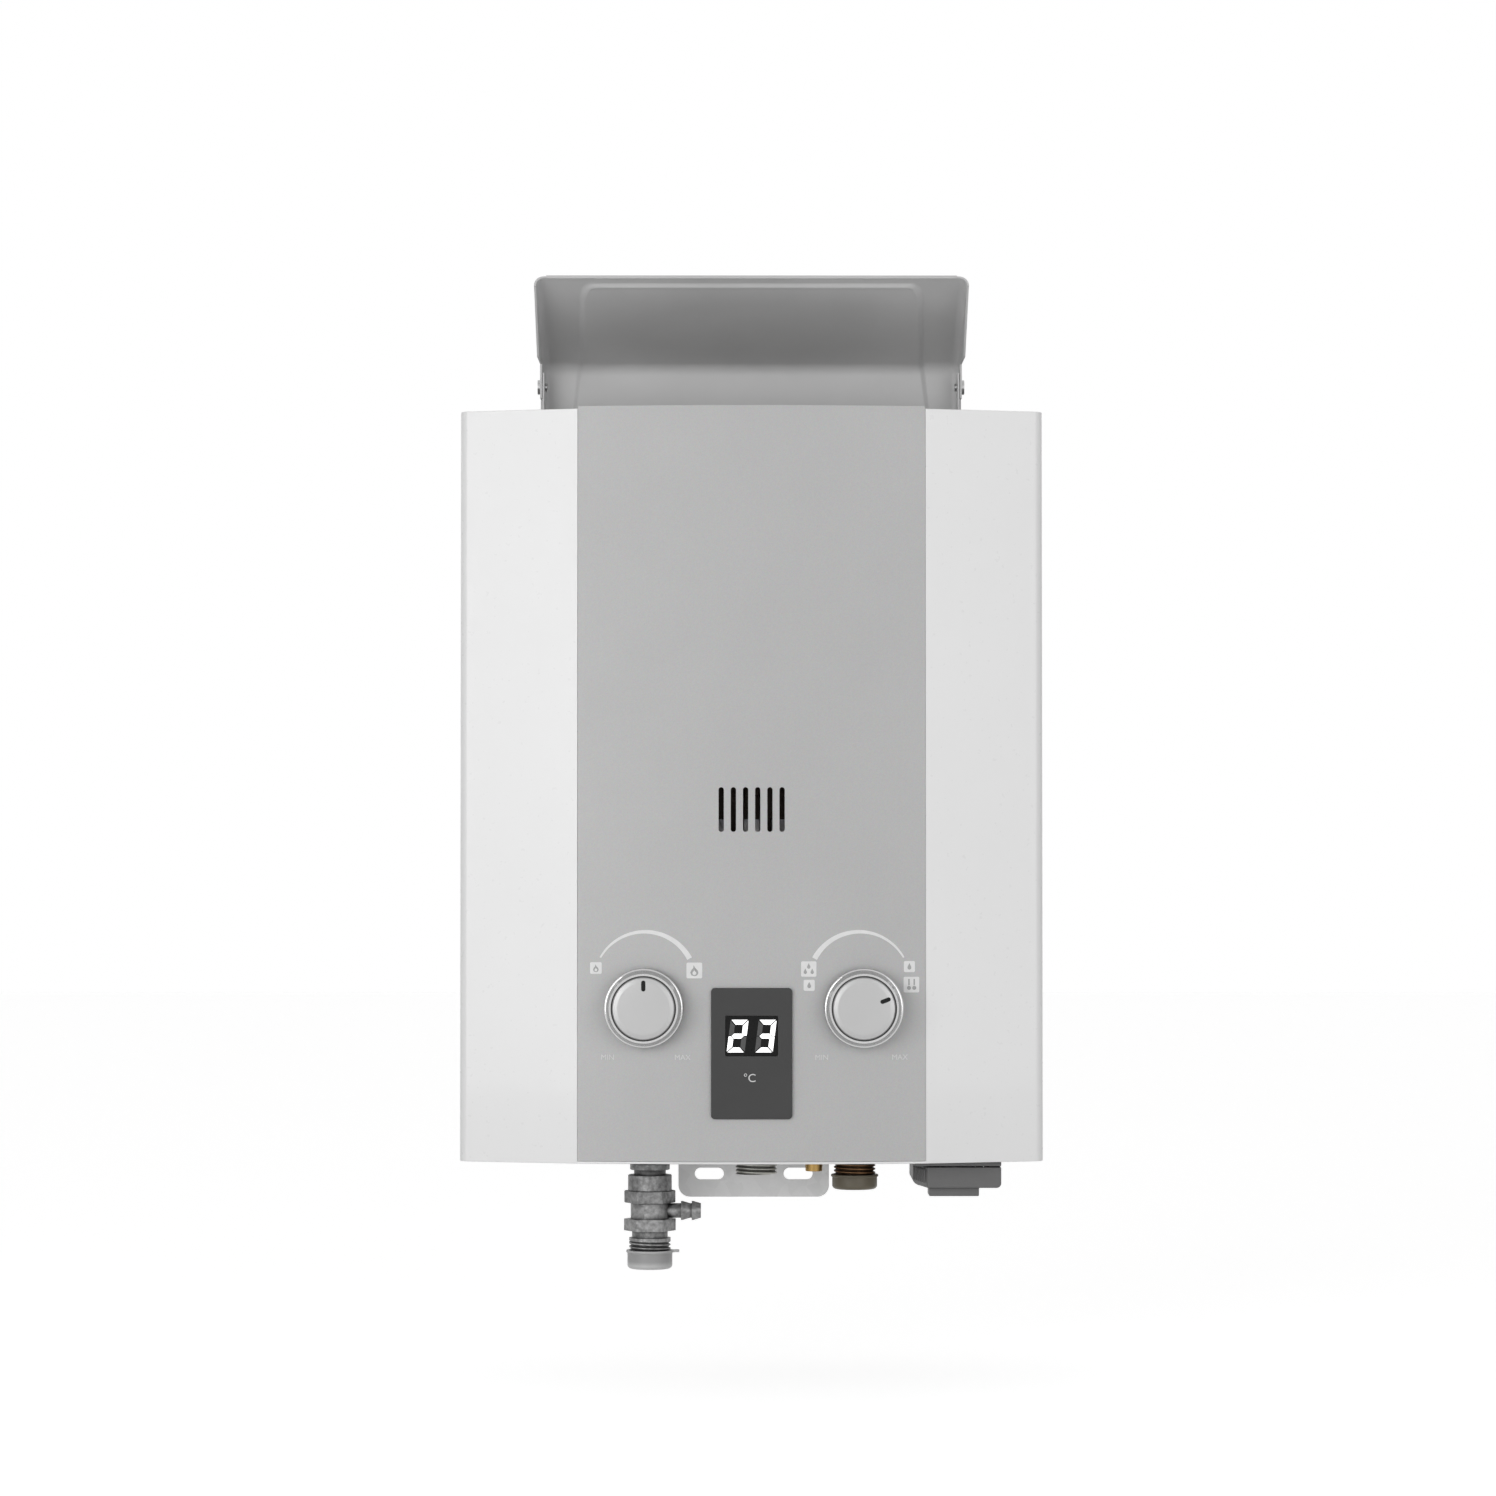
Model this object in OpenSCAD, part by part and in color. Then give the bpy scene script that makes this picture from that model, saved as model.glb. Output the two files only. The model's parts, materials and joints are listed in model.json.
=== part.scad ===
// Wall-hung tankless gas water heater with battery ignition.
// Frame: y = 0 is the wall, the front faces -y, z = 0 is the casing's bottom edge and x = 0 its middle.

/* [Casing] */
// Width over the side walls
casing_w = 290; // [280:1:320]
// Height from the bottom edge to the top wall
casing_h = 373; // [365:1:400]
// Depth from the wall to the crown of the front
casing_d = 120; // [118:1:140]
// Width of the bowed middle of the front
front_w = 172; // [164:1:184]
// How far the middle bows out between its two creases
front_bow = 6; // [3:0.5:9]
// How far the side edges lie behind the creases
edge_setback = 17; // [12:1:20]
// Bend radius between a side wall and the front
corner_r = 5; // [3:0.5:8]
// Steel sheet of the front cover
cover_t = 0.8; // [0.6:0.1:1.2]
// Gap between the cover's rear edge and the wall
wall_gap = 6; // [4:0.5:9]
// Width of the lip folded in round the bottom
lip_w = 12; // [9:0.5:14]

/* [Fascia] */
// Thickness of the silver fascia
fascia_t = 1; // [0.8:0.1:1.4]
// Height of its lower edge above the casing's bottom edge
fascia_rise = 1.2; // [0.8:0.1:3]
// Length of the return that lies on the top wall
fascia_return = 14; // [8:1:20]

/* [Sight slots] */
// Number of slots
sight_n = 6; // [4:1:8]
// Width of a slot
sight_w = 2.6; // [2:0.1:3.2]
// Height of a slot
sight_h = 22; // [16:1:26]
// Distance from slot to slot
sight_pitch = 6; // [5:0.1:7]
// Height of the slots' middle
sight_z = 174.5; // [172:0.5:177]

/* [Knobs] */
// Height of both knobs
knob_z = 77; // [74:0.5:82]
// Place of the gas knob
gas_knob_x = -53; // [-58:0.5:-48]
// Place of the water knob
water_knob_x = 55; // [52:0.5:58]
// Diameter over the bright skirt
knob_d = 39; // [36:0.5:42]
// Diameter of the satin face
knob_face_d = 31; // [27:0.5:32]
// Height of a knob
knob_h = 15; // [12:0.5:20]
// Gap between the skirt and the crown of the fascia
knob_gap = 0.6; // [0.4:0.1:1.5]
// Diameter of the valve spindles
spindle_d = 6; // [5:0.1:7]
// Length of the pointer mark
pointer_l = 5.2; // [4:0.1:6]
// Width of the pointer mark
pointer_w = 2; // [1.5:0.1:2.6]
// Where the water knob points, clockwise from the top
water_pointer_deg = 69; // [0:1:75]

/* [Display] */
// Width of the bezel
bezel_w = 40; // [38:0.5:44]
// Height of the bezel
bezel_h = 64.5; // [60:0.5:68]
// Height of the bezel's middle
bezel_z = 54.5; // [50:0.5:58]
// How far the bezel stands proud
bezel_t = 1.6; // [1:0.1:2.5]
// Width of the digit module
led_w = 25.6; // [24:0.2:28]
// Height of the digit module
led_h = 19.4; // [18:0.2:22]
// Height of the module's middle above the bezel's
led_rise = 8.6; // [6:0.2:10]
// Height of a digit
digit_h = 16; // [13:0.1:17]
// Width of a digit
digit_w = 8.8; // [7.4:0.1:9.2]
// Width of a segment
segment_w = 2.4; // [1.6:0.1:2.8]
// Slant of the digits
digit_slant = 7; // [0:1:10]

/* [Rain cap] */
// Width over the cap's side walls
cap_w = 217; // [212:1:225]
// Height of the rim above the casing's top wall
cap_rise = 67; // [60:1:80]
// Distance of the rim from the wall
cap_reach = 96; // [88:1:104]
// Height of the bend above the casing's top wall
cap_bend_rise = 32; // [29:1:40]
// Steel sheet of the cap
cap_t = 1; // [0.8:0.1:1.4]
// Bend radius between the rear wall and the roof
cap_bend_r = 8; // [4:0.5:12]
// Width of the pressed panel at its upper end
press_w = 166; // [150:1:176]
// Width of the pressed panel at its foot
press_low_w = 180; // [160:1:190]
// Corner radius of the panel, seen from the front
press_r = 6; // [3:0.5:9]
// Depth of that pressing
press_d = 1.5; // [0.8:0.1:2]
// Flat margin between the pressing and the rim
press_margin = 12; // [10:1:22]

/* [Wall fixing] */
// Steel sheet of the back and bottom plates
plate_t = 1; // [0.8:0.1:1.4]
// Height of the hanging keyhole
keyhole_z = 330; // [320:1:340]
// Diameter of the keyhole's round end
keyhole_d = 10; // [8:0.5:12]
// Width of the keyhole's neck
keyhole_neck = 5.2; // [4.5:0.1:6]
// Width of the lower tab
tab_w = 78; // [74:1:90]
// Sideways place of the tab's middle
tab_x = 1.5; // [-3:0.5:3]
// How far the tab hangs below the casing
tab_drop = 25; // [23:0.5:32]
// Distance between the tab's two slots
tab_slot_span = 46; // [42:1:50]
// Length of a tab slot
tab_slot_l = 15; // [11:0.5:18]
// Width of a tab slot
tab_slot_w = 6; // [5:0.2:7]
// Depth of the slots' middle below the casing
tab_slot_drop = 13; // [12:0.5:15]

/* [Heat exchanger] */
// Width of the combustion chamber
chamber_w = 200; // [190:1:206]
// Depth of the combustion chamber
chamber_d = 68; // [64:1:72]
// Height of the chamber's lower edge
chamber_z = 150; // [146:1:152]
// Height of the chamber
chamber_h = 150; // [140:1:158]
// Copper sheet of the chamber
chamber_t = 1; // [0.8:0.1:1.4]
// Number of fins
fin_n = 30; // [20:1:36]
// Height of a fin
fin_h = 34; // [28:1:36]
// Thickness of a fin
fin_t = 0.5; // [0.3:0.1:0.8]
// Diameter of the water tubes
tube_d = 12.7; // [11:0.1:13.4]
// Distance between the exchanger's tubes
tube_pitch = 22; // [20:0.5:24]
// Bend radius of the pipes
pipe_bend_r = 12; // [10:0.5:13]

/* [Burner] */
// Number of burner bars
bar_n = 13; // [9:1:14]
// Distance from bar to bar
bar_pitch = 14.4; // [13:0.1:15]
// Width of a bar
bar_w = 8; // [6:0.2:10]
// Height of a bar
bar_h = 42; // [38:1:44]
// Diameter of the gas manifold
manifold_d = 14; // [12:0.5:16]
// Height of the gas pipe's first bend above the valve
riser_rise = 15; // [14:0.5:18]

/* [Ports] */
// Distance of the three ports from the wall
port_y = 68; // [66:0.5:70]
// Place of the hot water outlet
outlet_x = -51; // [-56:0.5:-48]
// Place of the gas inlet
gas_inlet_x = 2.5; // [-2:0.5:5]
// Place of the cold water inlet
inlet_x = 52; // [50:0.5:55]
// Diameter over the port threads
thread_d = 20.9; // [19:0.1:21.5]
// Water way inside a port
port_bore = 13; // [10:0.5:14]
// Hexagon of the outlet fittings, across its corners
hex_d = 26; // [24:0.5:28]
// Wall of the push-on caps
plug_t = 0.8; // [0.6:0.1:1.2]
// Diameter of the relief outlet's barbs
barb_d = 9.6; // [8:0.1:11]

/* [Valves] */
// Diameter of the water valve's drum
drum_d = 56; // [52:1:58]
// Travel of the push rod when water flows
rod_travel = 3; // [2:0.1:3.5]
// Diameter of the push rod
rod_d = 5; // [4:0.1:5.6]

/* [Battery box] */
// Diameter of a cell
cell_d = 34.2; // [33:0.1:34.5]
// Height of a cell
cell_h = 61.5; // [58:0.5:62]
// Wall of the box
box_t = 2; // [1.5:0.1:2.4]
// Distance of the box from the casing's side
box_inset = 22.5; // [20:0.5:25]
// Distance of the box from the wall
box_back = 15.5; // [14:0.5:17]
// Height of the door
door_h = 10.4; // [8:0.1:11]
// Length of the slanted part of the door's side
door_slant = 30; // [20:1:36]
// Diameter of the hinge pin
hinge_d = 3; // [2.5:0.1:3.4]

/* [Hidden] */
$fn = 48;

// Clearances: faces that seat, parts that pass through holes, and turning or sliding fits
seat = 0.1;
pass = 0.3;
run = 0.05;
// Overshoot of cutting tools
over = 1;

// Front of the casing
front_y = -casing_d;
crease_y = front_y + front_bow;
edge_y = crease_y + edge_setback;
bow_r = (pow(front_w / 2, 2) + pow(front_bow, 2)) / (2 * front_bow);
bow_y = front_y + bow_r;
pocket_t = fascia_t + seat;
inner_w = casing_w - 2 * cover_t - 2 * pass;
bottom_z = cover_t + seat;
floor_z = bottom_z + plate_t;
flange_w = 15;
top_flange_w = 10;
strip_d = 10;
rib_margin = 82;
rib_l = casing_h - 2 * rib_margin;
rib_w = 9;
rib_d = 3;
tab_r = 6;
screw_y = -30;

// Holes of the bottom plate: room round the ports, and two rows of air slots
port_gap = 0.5;
vent_n = 9;
vent_pitch = 4.5;
vent_l = 26;
vent_w = 2.6;
vent_x = [-casing_w / 3, 0];
vent_y = -28;

// Knobs and spindles
knob_back_y = front_y - knob_gap;
spindle_wall = 3;
spindle_hole_d = spindle_d + 2 * spindle_wall;
spindle_in = 6;
skirt_t = 1.6;
skirt_slope_h = 6.8;
skirt_foot = knob_h - skirt_slope_h;
skirt_web = 1.5;
skirt_drop = 0.8;
shoulder_r = 1;
lip_t = 1;
groove_w = 0.5;
groove_d = 2.4;
disc_t = 6;
edge_drop = 1.2;
edge_in = 0.7;
crown_drop = 0.4;
crown_in = 3;
hub_lift = 1;
pointer_depth = 0.8;
pointer_edge = 1.8;
pointer_r = knob_face_d / 2 - pointer_l / 2 - pointer_edge;
hub_d = spindle_d + 2 * spindle_wall;
spindle_end_y = knob_back_y - knob_h + disc_t / 2;

// Display
bezel_r = 2;
bezel_lap = 2.5;
boss_w = bezel_w - 2 * bezel_lap;
boss_h = bezel_h - 2 * bezel_lap;
boss_d = 8;
boss_r = 1.5;
bezel_back_y = front_y - seat;
led_depth = 0.7;
led_face_y = bezel_back_y - bezel_t + led_depth;
board_t = 1.6;
board_edge = 1;
digit_gap = 5;
segment_gap = 0.4;
segment_t = 0.2;

// Rain cap, from the wall forward and from the casing's top up
cap_back_y = -13;
cap_sunk = 8;
cap_seat_z = casing_h - cap_sunk;
cap_bend = [cap_back_y, casing_h + cap_bend_rise];
cap_rim = [-cap_reach, casing_h + cap_rise];
cap_down = [0, -1];
cap_roof = (cap_rim - cap_bend) / norm(cap_rim - cap_bend);
cap_up = [cap_roof[1], -cap_roof[0]];
cap_half = acos(cap_down * cap_roof) / 2;
bend_reach = cap_bend_r / tan(cap_half);
bend_c = cap_bend + (cap_down + cap_roof) / norm(cap_down + cap_roof) * cap_bend_r / sin(cap_half);
roof_start = cap_bend + cap_roof * bend_reach;
roof_l = norm(cap_rim - roof_start);
wall_end = cap_bend[1] - bend_reach;
cap_corner_r = 5;
cap_under = cap_t - cap_corner_r;
press_rise = 6;
press_low = casing_h + press_rise;
press_chords = 5;
cheek_rise = 31.5;
cheek_low = casing_h + cheek_rise;
cheek_run = 34;
hem_d = 1.7;
hem_in = 1;
hem_w = cap_w - 2 * cap_corner_r - 2 * hem_in;
collar_reach = 66;
collar_rise = 2;
cheek_foot = 8;
cheek_margin = 7;
collar_w = cap_w - 2 * cap_t - 2 * pass;
cut_margin = 3;
cap_screw_in = 8;
cap_screw_rise = 20;
cap_screw = [cap_back_y - cap_screw_in, casing_h + cap_screw_rise];
screw_tab = 6;
screw_d = 4;
head_d = 7.6;
head_h = 2.2;
screw_end = 1.2;
cap_screw_l = 2 * cap_t + pass + screw_end;
cap_screw_head = 1.4;
cover_screw_l = 8;

// Flue collector between the chamber and the cap
flue_t = 0.8;
flue_w = cap_w + 2 * seat;
flue_rise = 1;
flue_top = casing_h + flue_rise;
flue_lap = 4;
flue_low = chamber_z + chamber_h - flue_lap;
flue_throat = 28;
flue_skirt = 12;
flue_back = cap_back_y + cap_t + seat;
flue_front = -collar_reach - seat;

// Exchanger, burner and manifold
row_y = [for (i = [-2:0]) -port_y - i * tube_pitch];
chamber_y = -port_y + tube_pitch;
chamber_front = chamber_y - chamber_d / 2;
chamber_back = chamber_y + chamber_d / 2;
chamber_top = chamber_z + chamber_h;
fin_drop = 3;
fin_z = chamber_top - fin_h - fin_drop;
tube_z = fin_z + fin_h / 2;
fin_pitch = (chamber_w - 2 * chamber_t - 2 * fin_t) / fin_n;
turn_out = 14;
pipe_out = 18;
turn_x = chamber_w / 2 + turn_out;
pipe_x = chamber_w / 2 + pipe_out;
stub_l = 3;
frame_h = 26;
frame_t = 1.2;
ledge = 4;
bar_play = 2;
bar_d = chamber_d - 2 * frame_t - 2 * bar_play;
bar_z = chamber_z - frame_h + ledge;
bar_throat = 20;
bar_wall = 1;
flame_ports = 9;
flame_port_h = 6;
nozzle_d = 5;
nozzle_gap = 0.5;
nozzle_in = 0.6;
manifold_out = 17;
manifold_rise = 10;
manifold_end = 6;
manifold_y = chamber_front - manifold_out;
manifold_z = bar_z + manifold_rise;
riser_d = 11;
riser_socket = 10;
riser_wall = 1;
riser_bend = 9;
bracket_w = 24;
bracket_h = 20;
bracket_rise = 70;

// Window of the chamber behind the sight slots, and the two electrodes beside it
window_side = 5;
window_top = 3;
window_r = 4;
electrode_out = 28;
electrode_rise = 25;
electrode_x = sight_n * sight_pitch / 2 + electrode_out;
electrode_z = chamber_z + electrode_rise;
ceramic_d = 5;
ceramic_out = 14;
ceramic_in = 8;
ceramic_collar_d = 9;
ceramic_collar_t = 3;
wire_d = 1.6;
wire_out = 6;
wire_in = 14;
wire_drop = 3;

// Overheat switch on the chamber's side, and the igniter on the back plate
switch_rise = 60;
cup_d = 16;
cup_h = 8;
cup_ear_l = 24;
cup_ear_h = 10;
cup_ear_t = 1;
blade_l = 7;
blade_w = 6;
blade_t = 0.8;
blade_apart = 4;
igniter_w = 52;
igniter_h = 40;
igniter_d = 28;
igniter_r = 3;
igniter_side = 11;
igniter_z = 48;
tower_d = 8;
tower_h = 7;
tower_pitch = 15;

// Valve bodies, both on the line of the ports
gas_above = 18;
gas_below = 19;
gas_side = 20;
gas_end = 12;
gas_r = 6;
gas_top_z = knob_z + gas_above;
gas_bottom_z = knob_z - gas_below;
gas_left = gas_knob_x - gas_side;
gas_right = gas_inlet_x + gas_end;
gas_half_d = 18;
gas_boss_d = 24;
gas_boss_l = 24;
gas_boss_in = 6;
magnet_out = 14;
magnet_in = 10;
riser_off = 22;
riser_x = gas_knob_x + riser_off;
riser_boss_h = 4;
riser_boss_in = 5;
riser_boss_wall = 2.5;
drum_cover_w = 22;
drum_cover_flange = 12;
drum_body_w = 14;
drum_left = inlet_x - drum_cover_w;
drum_split = inlet_x - drum_cover_flange;
drum_right = inlet_x + drum_body_w;
drum_front = -port_y - drum_d / 2;
drum_flange = 6;
drum_rim = 9;
drum_screw_in = 4;
bush_wall = 5;
bush_d = spindle_d + 2 * bush_wall;
bush_l = 8;
rod_end = 8;
rod_room = 3;
rod_collar_w = 3.4;
rod_collar_h = 3;
collar_d = rod_d + 2 * rod_collar_h;
switch_t = 7;
switch_w = 12;
switch_h = 18;
switch_up = 9;
switch_z = knob_z + switch_up;
lever_t = 0.4;
lever_w = 4;
lever_gap = 0.2;
lever_lift = 0.8;
lever_in = 2;
lever_x = drum_left - switch_t - lever_t - lever_gap;
lever_top = switch_z + switch_h - lever_in;
rod_collar_x = lever_x - pass - rod_collar_w;
drain_in = 1.5;
drain_x = drum_left + drain_in;
drain_boss_d = 11;
drain_boss_z = 14;
drain_d = 8.7;
drain_end = -6.9;
drain_flange = 3;
drain_slot_w = 1.2;
drain_slot_h = 2;
inlet_boss_l = 24;
inlet_boss_z = knob_z - drum_d / 2 - inlet_boss_l;
inlet_boss_d = 22;
valve_out_up = 10;
valve_out_l = 12;
valve_out_in = 8;
valve_out_wall = 2.5;
valve_out_z = knob_z + valve_out_up;
valve_out_x = drum_right + valve_out_l;

// Ports below the casing
nipple_end = -8.2;
inlet_end = -14.7;
inlet_plug_top = -8.4;
stub_end = -12;
union_top = -8.6;
union_hex = -16.5;
relief_top = -22.7;
relief_hex = -30.7;
relief_neck = -36.6;
relief_thread = -40.2;
relief_end = -54.6;
outlet_plug_top = -46.4;
barb_z = (relief_top + relief_hex) / 2;
neck_d = 16;
collar_step = 2;
collar_top_d = hex_d - 2 * collar_step;
body_step = 0.8;
body_d = thread_d - 2 * body_step;
thread_depth = 1.45;
shank_d = thread_d - 2 * thread_depth;
nut_d = 26;
nut_h = 8;
bore_stop = 2;
stub_wall = 2;
stub_bore = neck_d - 2 * stub_wall;
stub_nut_d = 24;
stub_flange_w = 2;
stub_flange_t = 3;
stub_flange_z = -6.1;
barb_depth = 1.1;
barb_neck_d = barb_d - 2 * barb_depth;
barb_reach = 16;
barb_tooth = 4.6;
barb_land = 0.8;
hot_turn_z = 34;
hot_end_z = 14;
probe_z = 84;
probe_h = 12;
probe_wall = 2.5;
probe_d = 7;
probe_l = 14;

// Push-on caps over the threaded ends
plug_floor = 1;
plug_r = 2;
plug_rim_h = 1.2;
plug_rim_w = 0.6;
plug_tab = [4, 6, 1];

// Battery box, its door and the hinge between them
cell_play = 0.4;
cell_z = -1.6;
nub_d = 9.5;
nub_h = 1.5;
contact_d = 10;
box_w = cell_d + 2 * cell_play + 2 * box_t;
box_d = 2 * cell_d + 2 * cell_play + 2 * box_t;
box_x = casing_w / 2 - box_inset - box_w / 2;
box_front = -box_back - box_d;
contact_room = 2;
box_top = cell_h + contact_room + box_t;
rim_w = 2;
rim_t = 3;
door_gap = 0.4;
door_top = -rim_t - door_gap;
door_left = box_x - box_w / 2 - rim_w;
door_right = box_x + box_w / 2 + rim_w;
door_back = -box_back + rim_w;
door_front = box_front - rim_w;
door_wall = 2;
slant_in = 6;
door_r = 2.4;
door_ribs = 6;
rib_bead_d = 1.6;
rib_end = 1;
knuckle_wall = 2;
knuckle_d = hinge_d + 2 * knuckle_wall;
knuckle_room = 0.6;
hinge_y = door_back - knuckle_d / 2;
hinge_z = -rim_t - door_gap - knuckle_d / 2;
ear_w = 4;
ear_inset = 5;
grip_w = 25;
grip_d = 16;
grip_h = 4.2;
grip_off = 2;
grip_back = 2;
grip_x = box_x - grip_off;
grip_y = door_front + grip_back;
grip_wall = 2;
grip_front = 3;
post_w = 4;
post_l = 16;
post_drop = 2;
leaf_t = 0.6;
leaf_w = 16;
leaf_drop = 2;
leaf_lap = 8;
stud_d = 8;

// Vectors
function unit(v) = v / norm(v);
function left_of(v) = [-v[1], v[0]];
function sheared(points, deg) = [for (p = points) [p[0] + p[1] * tan(deg), p[1]]];

// Corner i of a closed outline with its two neighbours
function before(points, i) = points[(i + len(points) - 1) % len(points)];
function after(points, i) = points[(i + 1) % len(points)];

// An anticlockwise convex outline moved inwards by t
function inset(points, t) = [
    for (i = [0:len(points) - 1])
        let (
            a = left_of(unit(points[i] - before(points, i))),
            b = left_of(unit(after(points, i) - points[i]))
        )
        points[i] + t * (a + b) / (1 + a * b)
];

// A convex outline with its corners rounded
module rounded(points, radii) {
    n = len(points);
    a = [for (i = [0:n - 1]) unit(before(points, i) - points[i])];
    b = [for (i = [0:n - 1]) unit(after(points, i) - points[i])];
    half = [for (i = [0:n - 1]) acos(a[i] * b[i]) / 2];
    polygon([
        for (i = [0:n - 1], side = [a[i], b[i]])
            points[i] + side * radii[i] / tan(half[i])
    ]);
    for (i = [0:n - 1])
        if (radii[i] > 0)
            translate(points[i] + unit(a[i] + b[i]) * radii[i] / sin(half[i])) circle(radii[i]);
}

module rounded_box(w, h, r) {
    square([w - 2 * r, h], center = true);
    square([w, h - 2 * r], center = true);
    for (x = [-1, 1], y = [-1, 1])
        translate([x * (w / 2 - r), y * (h / 2 - r)]) circle(r);
}

module oblong(l, w) {
    square([l - w, w], center = true);
    for (x = [-1, 1]) translate([x * (l - w) / 2, 0]) circle(d = w);
}

// A drawing of (x, z) made solid from the plane y, towards the wall
module from_front(y, depth) {
    translate([0, y + depth, 0]) rotate([90, 0, 0]) linear_extrude(depth) children();
}

// A drawing of (y, z) made solid from the plane x, towards the right
module across(x, width) {
    translate([x, 0, 0]) rotate([90, 0, 90]) linear_extrude(width) children();
}

// Turned pieces on an axis that points to the front
module facing_front(x, y, z) {
    translate([x, y, z]) rotate([90, 0, 0]) children();
}

module rod(a, b, d) {
    v = b - a;
    translate(a) rotate([0, acos(v[2] / norm(v)), atan2(v[1], v[0])]) cylinder(d = d, h = norm(v));
}

// A pipe along square corners, each bent to radius r
module pipe(points, d, r) {
    last = len(points) - 1;
    for (i = [0:last - 1]) {
        v = unit(points[i + 1] - points[i]);
        a = points[i] + (i > 0 ? r : 0) * v;
        b = points[i + 1] - (i + 1 < last ? r : 0) * v;
        if ((b - a) * v > 0.01) rod(a, b, d);
    }
    for (i = [1:last - 1]) {
        u = unit(points[i] - points[i - 1]);
        v = unit(points[i + 1] - points[i]);
        c = points[i] - r * u + r * v;
        n = cross(-v, u);
        multmatrix([
            [-v[0], u[0], n[0], c[0]], [-v[1], u[1], n[1], c[1]], [-v[2], u[2], n[2], c[2]], [0, 0, 0, 1]
        ]) rotate_extrude(angle = 90) translate([r, 0]) circle(d = d);
    }
}

// Strip of the plan in front of the creases
module bow_strip(w) {
    translate([-w / 2, front_y - over]) square([w, front_bow + strip_d]);
}

module bow(r, w) {
    intersection() {
        translate([0, bow_y]) circle(r, $fn = 180);
        bow_strip(w);
    }
}

function cover_points(back) = [
    [-casing_w / 2, back], [-casing_w / 2, edge_y], [-front_w / 2, crease_y],
    [front_w / 2, crease_y], [casing_w / 2, edge_y], [casing_w / 2, back]
];

module cover_outline() {
    rounded(cover_points(-wall_gap), [0, corner_r, 0, 0, corner_r, 0]);
    bow(bow_r, front_w);
}

// Inside of the cover, open to the wall and stepped in behind the fascia
module cover_inside() {
    r = corner_r - cover_t;
    step_w = front_w + 2 * cover_t;
    difference() {
        rounded(inset(cover_points(over), cover_t), [0, r, 0, 0, r, 0]);
        bow_strip(step_w);
    }
    bow(bow_r - pocket_t - cover_t, step_w);
}

module fascia_pocket() {
    difference() {
        bow_strip(front_w);
        translate([0, bow_y]) circle(bow_r - pocket_t, $fn = 180);
        translate([-casing_w / 2, crease_y + 2 * pocket_t]) square([casing_w, casing_d]);
    }
}

// Holes that the cover and the fascia share
module front_holes() {
    from_front(front_y - over, front_bow + strip_d) {
        for (x = [gas_knob_x, water_knob_x]) translate([x, knob_z]) circle(d = spindle_hole_d);
        for (i = [0:sight_n - 1])
            translate([(i - (sight_n - 1) / 2) * sight_pitch, sight_z]) rotate(90) oblong(sight_h, sight_w);
        translate([0, bezel_z]) rounded_box(boss_w + 2 * pass, boss_h + 2 * pass, bezel_r);
    }
}

function cover_screw_spots() = [for (s = [-1, 1]) [s * (casing_w / 2 - lip_w / 2), screw_y]];

module front_cover() {
    color("white") difference() {
        linear_extrude(casing_h) cover_outline();
        translate([0, 0, cover_t]) linear_extrude(casing_h - 2 * cover_t) cover_inside();
        translate([0, 0, fascia_rise]) linear_extrude(casing_h) fascia_pocket();
        translate([0, 0, -over]) linear_extrude(cover_t + 2 * over)
            polygon(inset(cover_points(lip_w + over), lip_w));
        translate([door_left - pass, door_front - pass, -over])
            cube([door_right - door_left + 2 * pass, lip_w + 2 * pass, cover_t + over + seat]);
        translate([-cap_w / 2 - cut_margin, -collar_reach - cut_margin, casing_h - cover_t - over])
            cube([cap_w + 2 * cut_margin, collar_reach + cut_margin + over, cover_t + 2 * over]);
        front_holes();
        for (p = cover_screw_spots()) translate([p[0], p[1], -over])
            cylinder(d = screw_d + pass, h = cover_t + 2 * over);
    }
}

module fascia() {
    w = front_w - 2 * seat;
    color("silver") difference() {
        union() {
            translate([0, 0, fascia_rise + seat]) linear_extrude(casing_h - fascia_rise + fascia_t)
                difference() {
                    bow(bow_r, w);
                    translate([0, bow_y]) circle(bow_r - fascia_t, $fn = 180);
                    translate([-w, crease_y + 2 * fascia_t]) square([2 * w, casing_d]);
                }
            translate([0, 0, casing_h + seat]) linear_extrude(fascia_t) intersection() {
                bow(bow_r, w);
                translate([-w, front_y - over]) square([2 * w, fascia_return + over]);
            }
        }
        front_holes();
    }
}

module screw(l, head = head_h) {
    translate([0, 0, -head]) cylinder(d = head_d, h = head);
    cylinder(d = screw_d, h = l);
}

module cover_screws() {
    color("lightgray") for (p = cover_screw_spots()) translate([p[0], p[1], 0]) screw(cover_screw_l);
}

// Stiffening rib of the back plate, between two distances from the wall, drawn in by t
module plate_rib(x, front, back, t) {
    from_front(front, back - front)
        translate([x, casing_h / 2]) rotate(90) oblong(rib_l - 2 * t, rib_w - 2 * t);
}

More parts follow.
